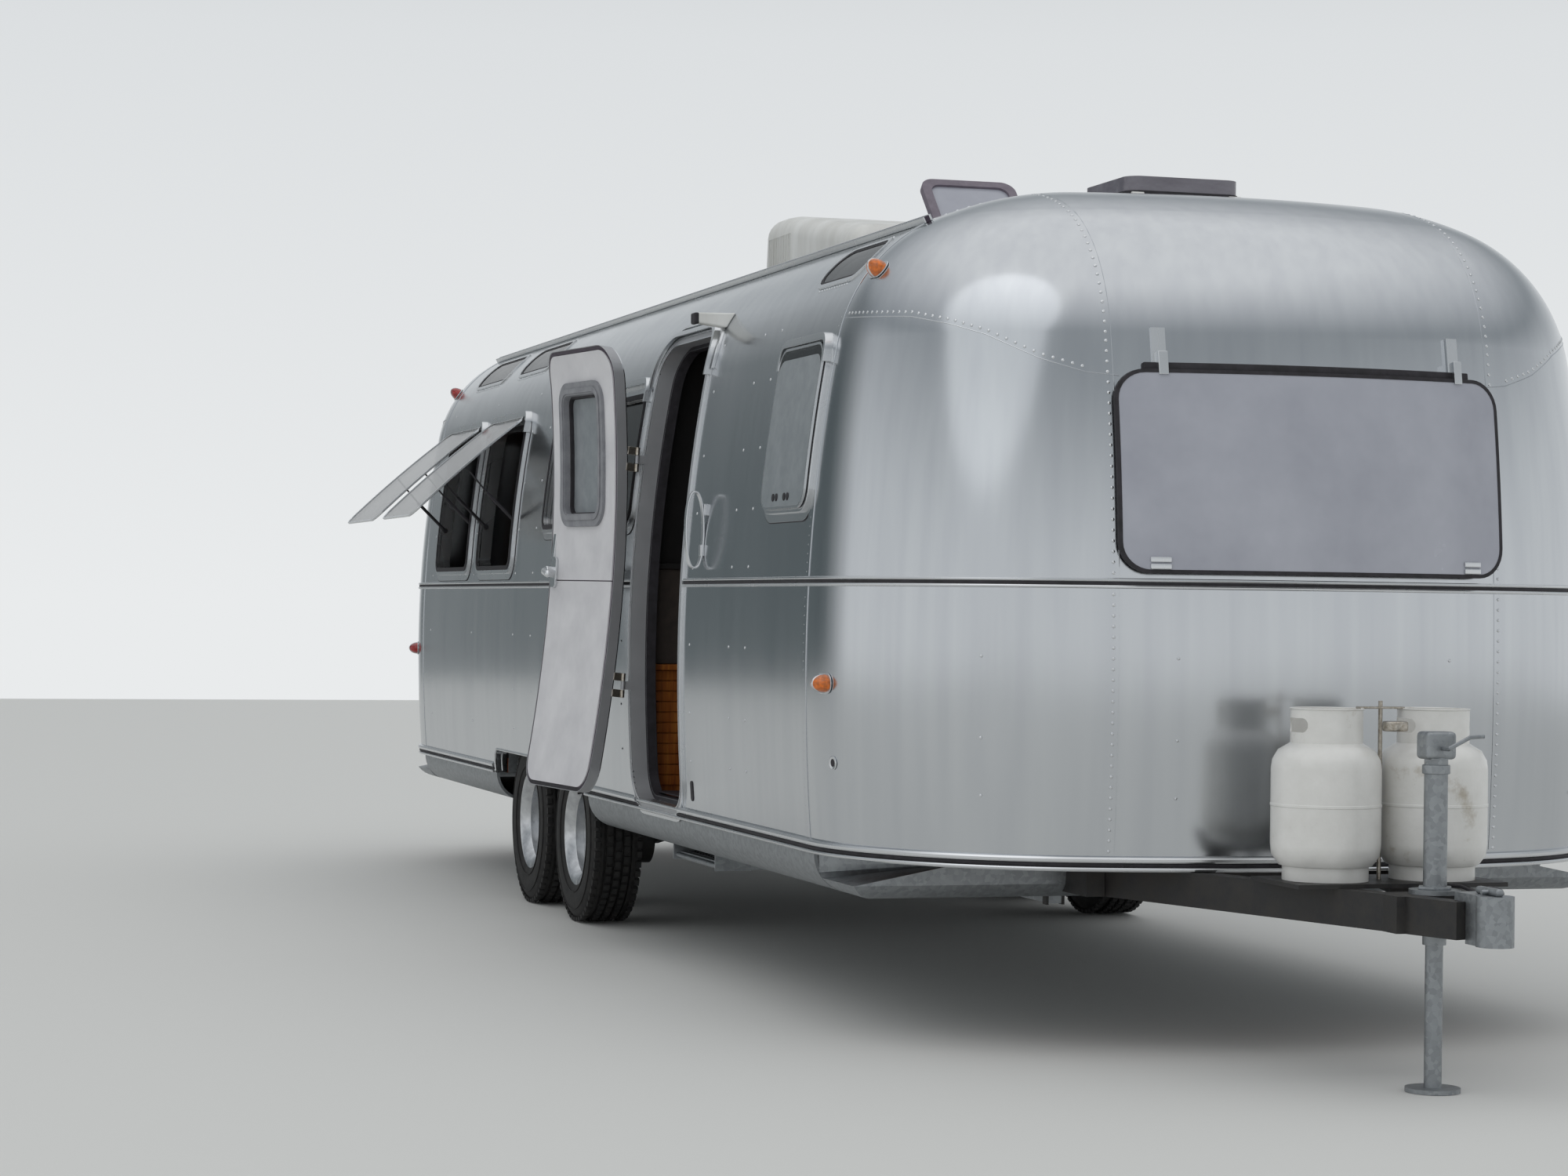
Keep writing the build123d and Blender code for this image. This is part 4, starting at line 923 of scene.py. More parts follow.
def climb(low, high, pitch):
    angles = []
    angle = low
    while angle < high:
        angles.append(angle)
        radius = next(arc[1] for arc in sectionArcs if arc[2] <= angle < arc[3])
        angle += math.degrees(pitch / radius)
    return angles


def between(stops, value):
    for (first, low), (last, high) in zip(stops[:-1], stops[1:]):
        if min(first, last) <= value <= max(first, last):
            return low + (high - low) * (value - first) / (last - first)
    return stops[-1][1]


def rivetHead():
    deselectAll()
    bpy.ops.mesh.primitive_uv_sphere_add(segments=8, ring_count=6, radius=rivets["radius"])
    head = bpy.context.object
    editMode()
    selectAll()
    bpy.ops.mesh.bisect(plane_co=(0, 0, 0.0001), plane_no=(0, 0, 1), clear_inner=True, use_fill=True)
    objectMode()
    head.scale = (1, 1, rivets["height"] / rivets["radius"])
    bake(head)
    return head


def scatter(template, spots, name):
    # a copy of the template at each spot, with its Z along the spot's normal
    copies = []
    for place, normal in spots:
        twin = copyOf(template, name)
        twin.matrix_world = Matrix.Translation(place) @ normal.to_track_quat("Z", "Y").to_matrix().to_4x4()
        copies.append(twin)
    bpy.context.view_layer.update()
    return join(copies, name)


def tube(name, points, radius, roundness=2, closed=False):
    # a drawn line turned into a round bar
    obj = startPoint(name, points[0])
    drawLine(list(points) + ([points[0]] if closed else []))
    mergeClose(0.00005)
    objectMode()
    bpy.ops.object.convert(target="CURVE")
    obj = bpy.context.object
    obj.data.bevel_depth = radius
    obj.data.bevel_resolution = roundness
    obj.data.use_fill_caps = True
    bpy.ops.object.convert(target="MESH")
    obj = bpy.context.object
    obj.name = name
    return obj


def capLapLine(side, rear, proud=0.0):
    headings = [90 - step * 2.5 for step in range(31)]
    spots = [capSpot(side * heading, angleAt(between(rivets["capLap"], heading)), rear, proud) for heading in headings]
    return [spot[0] for spot in spots]


def rivetSpots():
    railTop = sideAngle(0.595)
    belts = ((railTop, sideAngle(1.345)), (sideAngle(1.4), shell["gutterAngle"]))
    bodySpots = []
    capSpots = []
    for side in (-1, 1):
        for x in (seamFront - rivets["seamBehind"], seamRear + rivets["seamBehind"]):
            for low, high in belts:
                bodySpots += [wallSpot(x, angle, side) for angle in climb(low, high, rivets["seamPitch"])]
        for rear in (False, True):
            for low, high in (belts[0], (belts[1][0], 84)):
                for angle in climb(low, high, rivets["capPitch"]):
                    reach = -cornerAxisY - sectionPoint(angle)[0]
                    if reach > 0.2:
                        heading = headingAt(rivets["centrePanel"], angle)
                        capSpots.append(capSpot(side * heading, angle, rear))
            heading = 88.0
            while heading > 16.5:
                height = between(rivets["capLap"], heading) + 0.014
                capSpots.append(capSpot(side * heading, angleAt(height), rear))
                radius = shell["capCornerRadius"] if heading > noseAngle else shell["capNoseRadius"]
                heading -= math.degrees(rivets["capPitch"] / radius)
            for height in rivets["frameHeights"][:3]:
                angle = sideAngle(height)
                capSpots.append(capSpot(side * headingAt(rivets["noseColumn"], angle), angle, rear))
                capSpots.append(capSpot(side * 38, angle, rear))
    for behind in rivets["frameColumns"]:
        for height in rivets["frameHeights"]:
            inWell = abs(behind - openings["wellBehind"]) < 0.9 and height < 0.7
            inDoor = abs(behind - openings["doorBehind"]) < 0.42
            inWindow = any(abs(behind - w[1]) < w[2] / 2 + 0.06 and height > w[3] - 0.08 for w in openings["windows"])
            if not (inWell or inWindow):
                for side in (-1, 1):
                    if side == 1 or not inDoor:
                        bodySpots.append(wallSpot(seamFront - behind, angleAt(height), side))
    return bodySpots, capSpots


def roofSpots():
    spots = []
    seams = [seamFront - rivets["seamBehind"], seamRear + rivets["seamBehind"]]
    seams += [seamFront - behind for behind in rivets["roofSeams"]]
    flat = int(2 * cornerAxisY / rivets["roofPitch"])
    for x in seams:
        underGear = seamFront - 3.79 < x < seamFront - 2.42
        for side in (-1, 1):
            spots += [wallSpot(x, angle, side) for angle in climb(66, 89.9, rivets["roofPitch"])]
        for step in range(flat + 1):
            y = -cornerAxisY + step * rivets["roofPitch"]
            if not (underGear and abs(y) < 0.37):
                spots.append((Vector((x, y, roofTop)), Vector((0, 0, 1))))
    return spots


def vistaSpots():
    spots = []
    lift = math.degrees((openings["vistaHeight"] / 2 + 0.024) / shell["cornerRadius"])
    for behind, width in openings["vistas"]:
        count = int((width - 2 * openings["vistaCorner"]) / rivets["vistaPitch"])
        for step in range(count + 1):
            x = seamFront - behind + (step - count / 2) * rivets["vistaPitch"]
            for side in (-1, 1):
                spots.append(wallSpot(x, openings["vistaAngle"] - lift, side))
                spots.append(wallSpot(x, openings["vistaAngle"] + lift, side))
    return spots


def makeSeams():
    low, high = sideAngle(0.582), sideAngle(1.355)
    strips = []
    half = rivets["stripWidth"] / 2
    for x in (seamFront - rivets["seamBehind"], seamRear + rivets["seamBehind"]):
        for start, stop in ((low, high), (sideAngle(1.385), shell["gutterAngle"])):
            strip = wallBand("seamStrip", start, stop, 0.0022, 0.001, x - half, x + half)
            bevelEdges(strip, 0.0008, 1, 50)
            strips += [strip, mirrorAcross(strip, "seamStripRoad")]
    finishPiece(strips, "seamStrips", aluminium)
    laps = []
    for rear in (False, True):
        for side in (-1, 1):
            laps.append(tube("capLap", capLapLine(side, rear), 0.0016, 1))
            upright = []
            for angle in climb(sideAngle(0.59), 84, 0.06):
                if -cornerAxisY - sectionPoint(angle)[0] > 0.2:
                    upright.append(capSpot(side * headingAt(rivets["centrePanel"] - 0.016, angle), angle, rear)[0])
            laps.append(tube("panelLap", upright, 0.0013, 1))
    finishPiece(laps, "panelLaps", aluminium)
    head = rivetHead()
    bodySpots, capSpots = rivetSpots()
    finishPiece(scatter(head, bodySpots, "wallRivets"), "wallRivets", trim)
    finishPiece(scatter(head, capSpots, "endRivets"), "endRivets", trim)
    finishPiece(scatter(head, roofSpots(), "roofRivets"), "roofRivets", trim)
    finishPiece(scatter(head, vistaSpots(), "vistaRivets"), "vistaRivets", trim)
    bpy.data.objects.remove(head)


print("stage: seams and rivets")
makeSeams()

# Trim that runs round the body
bodyTrim = {
    # each profile as height and distance off the skin, going round
    "rubRail": (
        (0.5385, -0.004), (0.5385, 0.0115), (0.541, 0.0145), (0.546, 0.0155), (0.5495, 0.0135), (0.5505, 0.006),
        (0.563, 0.006), (0.564, 0.0135), (0.5675, 0.0158), (0.5745, 0.0158), (0.5795, 0.0125), (0.582, 0.006),
        (0.582, -0.004),
    ),
    # dark rubber strip in the rail's groove: partly an insert, partly painted shade that darkens the groove
    "rubGrooveShadeInsert": ((0.5508, 0.0045), (0.5508, 0.0085), (0.5568, 0.0112), (0.5628, 0.0085), (0.5628, 0.0045)),
    "belt": (
        (1.355, -0.003), (1.355, 0.005), (1.357, 0.0075), (1.361, 0.008), (1.3638, 0.0065), (1.3645, 0.0022),
        (1.3755, 0.0022), (1.3762, 0.0065), (1.379, 0.008), (1.383, 0.0075), (1.385, 0.005), (1.385, -0.003),
    ),
    # dark rubber strip in the belt's groove: partly an insert, partly painted shade that darkens the groove
    "beltGrooveShadeInsert": ((1.3648, 0.001), (1.3648, 0.0035), (1.37, 0.0046), (1.3752, 0.0035), (1.3752, 0.001)),
}


def sweepTrim(name, profile):
    points = []
    for height, proud in profile + profile[:1]:
        points.append((seamFront, *sectionPoint(sideAngle(height), proud)))
    obj = startPoint(name, points[0])
    drawLine(points)
    mergeClose(0.00002)
    selectAll()
    sweepRoundBody()
    objectMode()
    return obj


def makeBodyTrim():
    for name, profile in bodyTrim.items():
        piece = sweepTrim(name, profile)
        cut(piece, doorBlock(openings["doorFace"]))
        if name.startswith("rub"):
            cut(piece, wellBlock(-1), wellBlock(1))
        # the groove strips take the dark rubber, which paints the grooves' shade
        finishPiece(piece, name, rubber if name.endswith("Insert") else trim)
        if name == "rubRail":
            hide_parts("rub_rail")
        if name == "belt":
            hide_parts("belt_trim")


print("stage: trim round the body")
makeBodyTrim()

# Side windows
sideWindow = {
    "flange": 0.042,
    "flangeProud": 0.003,
    "frame": 0.015,
    "frameProud": 0.014,
    "sashProud": 0.018,
    "sashRise": 0.03,
    "hoodProud": 0.028,
    "hoodTop": 0.06,
    "hoodDrop": 0.035,
    "hoodEnd": 0.018,
    "openAngle": 42,
}


def windowSpan(window, past=0.1):
    return seamFront - window[1] - window[2] / 2 - past, seamFront - window[1] + window[2] / 2 + past


def wallSheet(name, span, low, high, proud, depth, outline, hole=None, edge=0.0015):
    # a sheet over the curb wall, trimmed to an outline, with its edges broken
    obj = wallBand(name, angleAt(low), angleAt(high), proud, depth, *span)
    common(obj, outline)
    if hole:
        cut(obj, hole)
    if edge:
        bevelEdges(obj, edge, 2, 50)
    return obj


def windowSheet(name, window, outer, inner, proud, depth, edge=0.0015):
    bottom, top = window[3:]
    return wallSheet(
        name, windowSpan(window), bottom - 0.09, top + 0.09, proud, depth,
        windowBlock(window, outer), windowBlock(window, inner), edge,
    )


def windowHood(window):
    behind, width, bottom, top = window[1:]
    x = seamFront - behind
    outline = curbBlock("outline", x, width + 2 * sideWindow["hoodEnd"], bottom, top + sideWindow["hoodTop"], 0.06)
    hood = wallBand("hood", angleAt(bottom), angleAt(top + 0.09), sideWindow["hoodProud"], 0.0, *windowSpan(window))
    common(hood, outline)
    under = top + sideWindow["sashRise"] + 0.0055
    cut(hood, curbBlock("hole", x, width + 0.001, bottom - 0.1, under, 0.03))
    cut(hood, block("below", x - width, x + width, -1.6, 0, bottom - 0.2, top - sideWindow["hoodDrop"]))
    return bevelEdges(hood, 0.003, 3, 50)


def openSash(obj, top, angle):
    proud = sideWindow["sashProud"]
    y, z = sectionPoint(angleAt(top + sideWindow["sashRise"]), proud)
    turnAbout(obj, (0, y, z), "X", -angle)
    return obj


def sashOutline(window, grow):
    behind, width, bottom, top = window[1:]
    return curbBlock(
        "sash", seamFront - behind, width + 2 * grow, bottom - grow, top + sideWindow["sashRise"] + grow, 0.06 + grow
    )


def makeSideWindows():
    frames = []
    seals = []
    for window in openings["windows"]:
        flange = windowSheet("flange", window, sideWindow["flange"], 0.002, sideWindow["flangeProud"], 0.001, 0.001)
        frames.append(flange)
        frames.append(
            windowSheet("frame", window, sideWindow["frame"], -0.015, sideWindow["frameProud"], 0.0005, 0.0025)
        )
        frames.append(windowSheet("sleeve", window, -0.0005, -0.015, 0.004, shell["wall"], 0.001))
        frames.append(windowHood(window))
        seals.append(windowSheet("seal", window, -0.001, -0.02, 0.0172, -0.0138, 0.001))
        seals.append(windowSheet(
            "flangeEdge", window, sideWindow["flange"] + 0.003, sideWindow["flange"] - 0.001, 0.0018, 0.0005, 0
        ))
    curbFrames = join(frames, "windowFramesCurb")
    roadFrames = mirrorAcross(curbFrames, "windowFramesRoad")
    curbSeals = join(seals, "windowSealsCurb")
    roadSeals = mirrorAcross(curbSeals, "windowSealsRoad")
    finishPiece(curbFrames, "windowFramesCurb", trim)
    finishPiece(roadFrames, "windowFramesRoad", trim)
    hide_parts("window_frames_curb")
    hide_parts("window_frames_road")
    finishPiece(curbSeals, "windowSealsCurb", rubber)
    finishPiece(roadSeals, "windowSealsRoad", rubber)
    edges = []
    for window in openings["windows"]:
        label = window[0]
        if label == "middle":
            continue
        bottom = window[3]
        top = window[4] + sideWindow["sashRise"]
        rim = wallSheet(
            "sashEdge", windowSpan(window), bottom - 0.05, top + 0.05, sideWindow["sashProud"] + 0.0072,
            -sideWindow["sashProud"] + 0.0008, sashOutline(window, 0.0012), sashOutline(window, -0.007), 0.0008,
        )
        if label != "front":
            openSash(rim, window[4], sideWindow["openAngle"])
        edges.append(rim)
    finishPiece(edges, "sashEdges", trim)


sashGear = {
    "propLean": 9,
    "propLength": 0.36,
    "buttonsAlong": (-0.088, -0.052, 0.032, 0.068),
    "buttonHeight": 1.634,
    "blindHalf": 0.2,
    "blindFrom": 1.632,
    "slatPitch": 0.022,
    "slatCount": 20,
    "slatLean": 62,
}


def makeSashGear():
    # props of the open sashes; pane, buttons and blind of the shut front one
    darkBits = []
    for window in openings["windows"][2:]:
        behind, width, bottom, top = window[1:]
        pivot = Vector((0, *sectionPoint(angleAt(top + sideWindow["sashRise"]), sideWindow["sashProud"])))
        lean = sideWindow["openAngle"] + sashGear["propLean"]
        for side in (-1, 1):
            x = seamFront - behind + side * (width / 2 - 0.025)
            foot = Vector((x, sectionPoint(angleAt(bottom + 0.2), 0.0)[0] + 0.012, bottom + 0.2))
            reach = sashGear["propLength"]
            head = Vector((x, pivot.y - reach * sine(lean), pivot.z - reach * cosine(lean)))
            middle = foot.lerp(head, 0.55)
            darkBits.append(rod("propTube", foot, middle, 0.0075, 12))
            darkBits.append(rod("propRod", middle, head + Vector((0, 0.012, 0.004)), 0.004, 10))
            darkBits.append(rod("propEye", foot - Vector((0.011, 0, 0)), foot + Vector((0.011, 0, 0)), 0.012, 14))
    front = openings["windows"][0]
    x = seamFront - front[1]
    proud = sideWindow["sashProud"] + 0.006
    for along in sashGear["buttonsAlong"]:
        place = Vector((x + along, *sectionPoint(sideAngle(sashGear["buttonHeight"]), proud - 0.001)))
        darkBits.append(rod("button", place, place + Vector((0, -0.005, 0.0003)), 0.0125, 16))
    pads = join(darkBits, "sashGear")
    finishPiece(bevelEdges(pads, 0.0008, 1, 60), "sashGear", rubber)
    bottom, top = front[3:]
    pane = wallBand("frontPane", angleAt(bottom - 0.05), angleAt(top + 0.05), proud + 0.0014, proud, *windowSpan(front))
    common(pane, windowBlock(front, -0.007))
    finishPiece(bevelEdges(pane, 0.0004, 1, 50), "frontPane", doorPane)
    slats = []
    slat = block("slat", x - sashGear["blindHalf"], x + sashGear["blindHalf"], -0.0125, 0.0125, -0.0006, 0.0006)
    editMode()
    selectAll()
    bpy.ops.mesh.subdivide(number_cuts=2)
    objectMode()
    slat.rotation_euler = (math.radians(sashGear["slatLean"]), 0, 0)
    bake(slat)
    for step in range(sashGear["slatCount"]):
        z = sashGear["blindFrom"] + sashGear["slatPitch"] * step
        slats.append(copyAt(slat, (0, sectionPoint(angleAt(z), -0.05)[0], z)))
    bpy.data.objects.remove(slat)
    finishPiece(slats, "frontBlind", blindGrey)


def makeVistaFrames():
    rings = []
    seals = []
    for vista in openings["vistas"]:
        span = (seamFront - vista[0] - vista[1] / 2 - 0.05, seamFront - vista[0] + vista[1] / 2 + 0.05)
        ring = wallBand("vistaRing", 24, 64, 0.005, 0.001, *span)
        common(ring, vistaBlock(vista, 0.014))
        cut(ring, vistaBlock(vista, -0.002))
        rings.append(bevelEdges(ring, 0.002, 2, 50))
        seal = wallBand("vistaSeal", 26, 63, 0.002, 0.006, *span)
        common(seal, vistaBlock(vista, -0.002))
        cut(seal, vistaBlock(vista, -0.014))
        seals.append(bevelEdges(seal, 0.001, 1, 50))
    for items, name, material in ((rings, "vistaFrames", trim), (seals, "vistaSeals", rubber)):
        items += [mirrorAcross(item, name) for item in list(items)]
        finishPiece(items, name, material)


print("stage: side windows")
makeSideWindows()
makeSashGear()
makeVistaFrames()

# Entry door, built shut and then swung open
door = {
    "thickness": 0.044,
    "clearance": 0.006,
    "skin": 0.004,
    "channel": 0.039,
    "panelInset": 0.024,
    "splitHeight": 1.37,
    "windowWidth": 0.37,
    "windowBottom": 1.61,
    "windowTop": 2.08,
    "windowCorner": 0.05,
    "bezel": 0.036,
    "handleHeight": 1.4,
    "handleFromEdge": 0.066,
    "hingeHeights": (0.991, 1.828),
    "hingePoint": (-3.79678, -1.30135, 1.41055),
    "hingeAxis": (0, 0.052636, 0.998614),
    "openAngle": 172,
}


def doorWindowBlock(grow):
    return curbBlock(
        "doorWindowOutline", doorX, door["windowWidth"] + 2 * grow, door["windowBottom"] - grow,
        door["windowTop"] + grow, door["windowCorner"] + grow,
    )


def doorSheet(name, proud, depth, outline, hole=None, edge=0.0015):
    span = (doorX - 0.42, doorX + 0.42)
    return wallSheet(name, span, 0.5, 2.4, proud, depth, outline, hole, edge)


def hingeSpot(height):
    axis = Vector(door["hingeAxis"])
    return Vector(door["hingePoint"]) + axis * ((height - door["hingePoint"][2]) / axis.z)


def makeDoor():
    skin = doorSheet("doorSkin", 0.0, door["skin"], doorBlock(-door["clearance"]), doorWindowBlock(0.0), 0.001)
    lip = doorSheet("doorLip", 0.0006, door["thickness"] - 0.002, doorBlock(-0.0063), doorBlock(-0.0085), 0.0007)
    core = doorSheet("doorCore", -0.0035, door["channel"], doorBlock(-0.008), doorWindowBlock(0.0), 0.002)
    panel = doorSheet(
        "doorPanel", -0.02, door["thickness"], doorBlock(-door["panelInset"]), doorWindowBlock(0.003), 0.0045
    )
    innerY = sectionPoint(0, -door["thickness"])[0]
    split = door["splitHeight"]
    groove = block("split", doorX - 0.4, doorX + 0.4, innerY - 0.004, innerY + 0.1, split - 0.0022, split + 0.0022)
    cut(panel, groove)
    bezel = doorSheet(
        "doorBezel", -0.03, door["thickness"] + 0.012, doorWindowBlock(door["bezel"]), doorWindowBlock(-0.012), 0.006
    )
    step = doorSheet(
        "bezelStep", -0.03, door["thickness"] + 0.0165, doorWindowBlock(0.013), doorWindowBlock(-0.006), 0.003
    )
    bezel = join([bezel, step], "doorBezel")
    gasket = doorSheet("doorGlassSeal", -0.012, 0.032, doorWindowBlock(-0.004), doorWindowBlock(-0.02), 0.002)
    outerRing = doorSheet("doorGlassRing", 0.004, 0.002, doorWindowBlock(0.02), doorWindowBlock(-0.012), 0.0018)
    sweepStrip = doorSheet(
        "doorSweep", -0.008, door["thickness"] - 0.004, doorBlock(-0.0066),
        block("h", doorX - 0.5, doorX + 0.5, -2, 0, 0.596, 2.5), 0.001,
    )
    # locks and handles near the free edge, which is the front one while the door is shut
    x = doorX + 0.34 - door["clearance"] - door["handleFromEdge"]
    height = door["handleHeight"]
    wallY = sectionPoint(0.0)[0]
    inside = wallY + door["thickness"]
    plate = doorSheet(
        "handlePlate", -door["thickness"] + 0.0005, door["thickness"] + 0.011,
        curbBlock("o", x, 0.056, height - 0.06, height + 0.06, 0.02), None, 0.003,
    )
    boss = rod("boss", (x, inside + 0.008, height), (x, inside + 0.05, height), 0.021, 32)
    bevelEdges(boss, 0.005, 3, 50)
    lever = roundedBlock(
        "lever", x - 0.03, 0.11, height - 0.015, height + 0.015, 0.0145, inside + 0.038, inside + 0.062
    )
    selectEdges(lever, lambda a, b: max(a.x, b.x) < x - 0.04)
    bpy.ops.transform.translate(value=(-0.006, 0.018, -0.012))
    objectMode()
    bevelEdges(lever, 0.006, 4, 50)
    latch = roundedBlock("latch", doorX + 0.293, 0.03, 1.452, 1.55, 0.008, inside - 0.004, inside + 0.018)
    bevelEdges(latch, 0.003, 2, 50)
    bolt = block("bolt", doorX + 0.3265, doorX + 0.3335, wallY + 0.014, wallY + 0.03, 1.38, 1.42)
    bevelEdges(bolt, 0.0015, 2, 50)
    outerPlate = doorSheet(
        "outerPlate", 0.011, -0.0003, curbBlock("o", x, 0.056, height - 0.06, height + 0.06, 0.02), None, 0.003
    )
    grip = doorSheet(
        "grip", 0.033, -0.008, curbBlock("o", x, 0.028, height - 0.046, height + 0.046, 0.012), None, 0.004
    )
    lock = rod("lock", (x, wallY + 0.001, height + 0.1), (x, wallY - 0.005, height + 0.1), 0.013, 24)
    bevelEdges(lock, 0.001, 2, 50)
    bronze = []
    for hinge in door["hingeHeights"]:
        centre = hingeSpot(hinge)
        axis = Vector(door["hingeAxis"])
        for low, high in ((-0.045, -0.0162), (0.0162, 0.045)):
            barrel = rod("knuckle", centre + axis * low, centre + axis * high, 0.008, 24)
            bevelEdges(barrel, 0.001, 2, 50)
            middle = centre + axis * ((low + high) / 2)
            wing = block(
                "wing", centre.x, centre.x + 0.02, middle.y - 0.002, sectionPoint(sideAngle(hinge))[0] + 0.003,
                middle.z - (high - low) / 2, middle.z + (high - low) / 2,
            )
            strap = doorSheet(
                "strap", 0.0028, 0.0,
                curbBlock("o", centre.x + 0.036, 0.052, middle.z - 0.0142, middle.z + 0.0142, 0.005), None, 0.0008,
            )
            bronze += [barrel, bevelEdges(wing, 0.0008, 1, 50), strap]
    pieces = (
        (join([skin, outerRing], "doorSkin"), "doorSkin", aluminium),
        (lip, "doorLip", jambGrey),
        (core, "doorCore", gasketPurple),
        (panel, "doorPanel", panelWhite),
        (bezel, "doorBezel", bezelGrey),
        (join([gasket, sweepStrip], "doorSeals"), "doorSeals", rubber),
        (join([plate, boss, lever, latch, bolt, outerPlate, grip, lock], "doorHandles"), "doorHandles", trim),
        (join(bronze, "doorHinges"), "doorHinges", hingeBronze),
    )
    for piece, name, material in pieces:
        turnAbout(piece, door["hingePoint"], Vector(door["hingeAxis"]), -door["openAngle"])
        finishPiece(piece, name, material, "door")
    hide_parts("door_leaf")
    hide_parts("door_handle")


doorway = {
    "sillTop": 0.574,
    "sillHalf": 0.325,
    # drip returns: outer and inner edge off the doorway, how proud, lowest height
    "returns": ((0.052, 0.034, 0.026, 2.1), (0.082, 0.066, 0.01, 2.12)),
}


def makeDoorway():
    # bright edges, seal, sill and the folded drip returns over the CAD frame
    lips = [
        doorSheet("outerLip", 0.0095, 0.0005, doorBlock(0.031), doorBlock(0.0225), 0.002),
        doorSheet("innerLip", 0.0085, -0.002, doorBlock(0.0045), doorBlock(0.0004), 0.0008),
    ]
    flange = doorSheet("flange", 0.0025, 0.0008, doorBlock(0.05), doorBlock(0.027), 0.0008)
    lips.append(flange)
    for outer, inner, proud, low in doorway["returns"]:
        hood = doorSheet("hood", proud, 0.0, doorBlock(outer), doorBlock(inner), 0)
        cut(hood, block("below", doorX - 0.6, doorX + 0.6, -1.7, 0, 0.4, low))
        lips.append(bevelEdges(hood, 0.0035, 3, 50))
    sillTop = doorway["sillTop"]
    half = doorway["sillHalf"]
    sill = block("sill", doorX - half, doorX + half, -1.272, -1.205, sillTop - 0.004, sillTop + 0.003)
    nose = rod("nose", (doorX - 0.33, -1.274, sillTop - 0.003), (doorX + 0.33, -1.274, sillTop - 0.003), 0.0055, 14)
    lips += [bevelEdges(sill, 0.001, 2, 50), nose]
    finishPiece(lips, "doorwayTrim", trim)
    seal = doorSheet("doorwaySeal", -0.0493, 0.0508, doorBlock(-0.0005), doorBlock(-0.0152), 0)
    inner = doorSheet("innerSeal", -0.0503, 0.0855, doorBlock(-0.0155), doorBlock(-0.0182), 0)
    tread = block("tread", doorX - 0.3, doorX + 0.3, -1.2, -1.12, 0.5998, 0.604)
    finishPiece([seal, inner, bevelEdges(tread, 0.0015, 2, 50)], "doorwaySeals", rubber)


porch = {"behind": 1.495, "half": 0.029, "bottom": 2.262, "top": 2.319}


def makePorchLight():
    x = seamFront - porch["behind"]
    half = porch["half"]
    body = block("porchBody", x - half, x + half, -1.252, -1.105, porch["bottom"], porch["top"])
    scaleFaces(body, lambda face: face.normal.y < -0.9, (0.86, 1, 0.62), (x, -1.252, 2.312))
    common(body, wallBand("air", 14, 60, 0.139, -0.0003, x - 0.1, x + 0.1))
    bevelEdges(body, 0.007, 4, 50)
    finishPiece(body, "porchLight", plasticWhite)
    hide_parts("porch_light")
    cap = block("porchEnd", x - 0.0265, x + 0.0265, -1.262, -1.243, 2.277, 2.3165)
    finishPiece(bevelEdges(cap, 0.006, 3, 50), "porchEnd", rubber)


print("stage: entry door")
makeDoor()
makeDoorway()
makePorchLight()

# Stone guard and end windows
guard = {
    "width": 1.234,
    "bottom": 1.4,
    "top": 1.994,
    "corner": 0.09,
    "standoff": 0.024,
    "thickness": 0.01,
    "bracketAcross": 0.475,
    "bracketTop": 2.115,
}


def endBand(name, low, high, proud, depth):
    # a sheet round the front end between two heights
    obj = startPoint(name, (seamFront, *sectionPoint(angleAt(low), proud)))
    climbSection(angleAt(low), angleAt(high), seamFront)
    sweepEnd(True)
    selectAll()
    mergeClose(0.0002)
    bpy.ops.mesh.normals_make_consistent(inside=False)
    objectMode()
    outward = sum(face.normal.x * face.area for face in obj.data.polygons)
    if outward < 0:
        flipFaces()
    return thicken(obj, proud + depth)


def endSheet(name, size, grow, inner, proud, depth, edge=0.0015):
    width, bottom, top, corner = size
    obj = endBand(name, bottom - 0.12, top + 0.1, proud, depth)
    common(obj, endOutline(width + 2 * grow, bottom - grow, top + grow, corner + grow, seamFront + capDepth))
    if inner is not None:
        cut(obj, endOutline(width + 2 * inner, bottom - inner, top + inner, corner + inner, seamFront + capDepth))
    if edge:
        bevelEdges(obj, edge, 2, 50)
    return obj


def toRear(obj, name):
    twin = mirrorAcross(obj, name, "x")
    moveTo(twin, (seamFront + seamRear, 0, 0))
    return twin


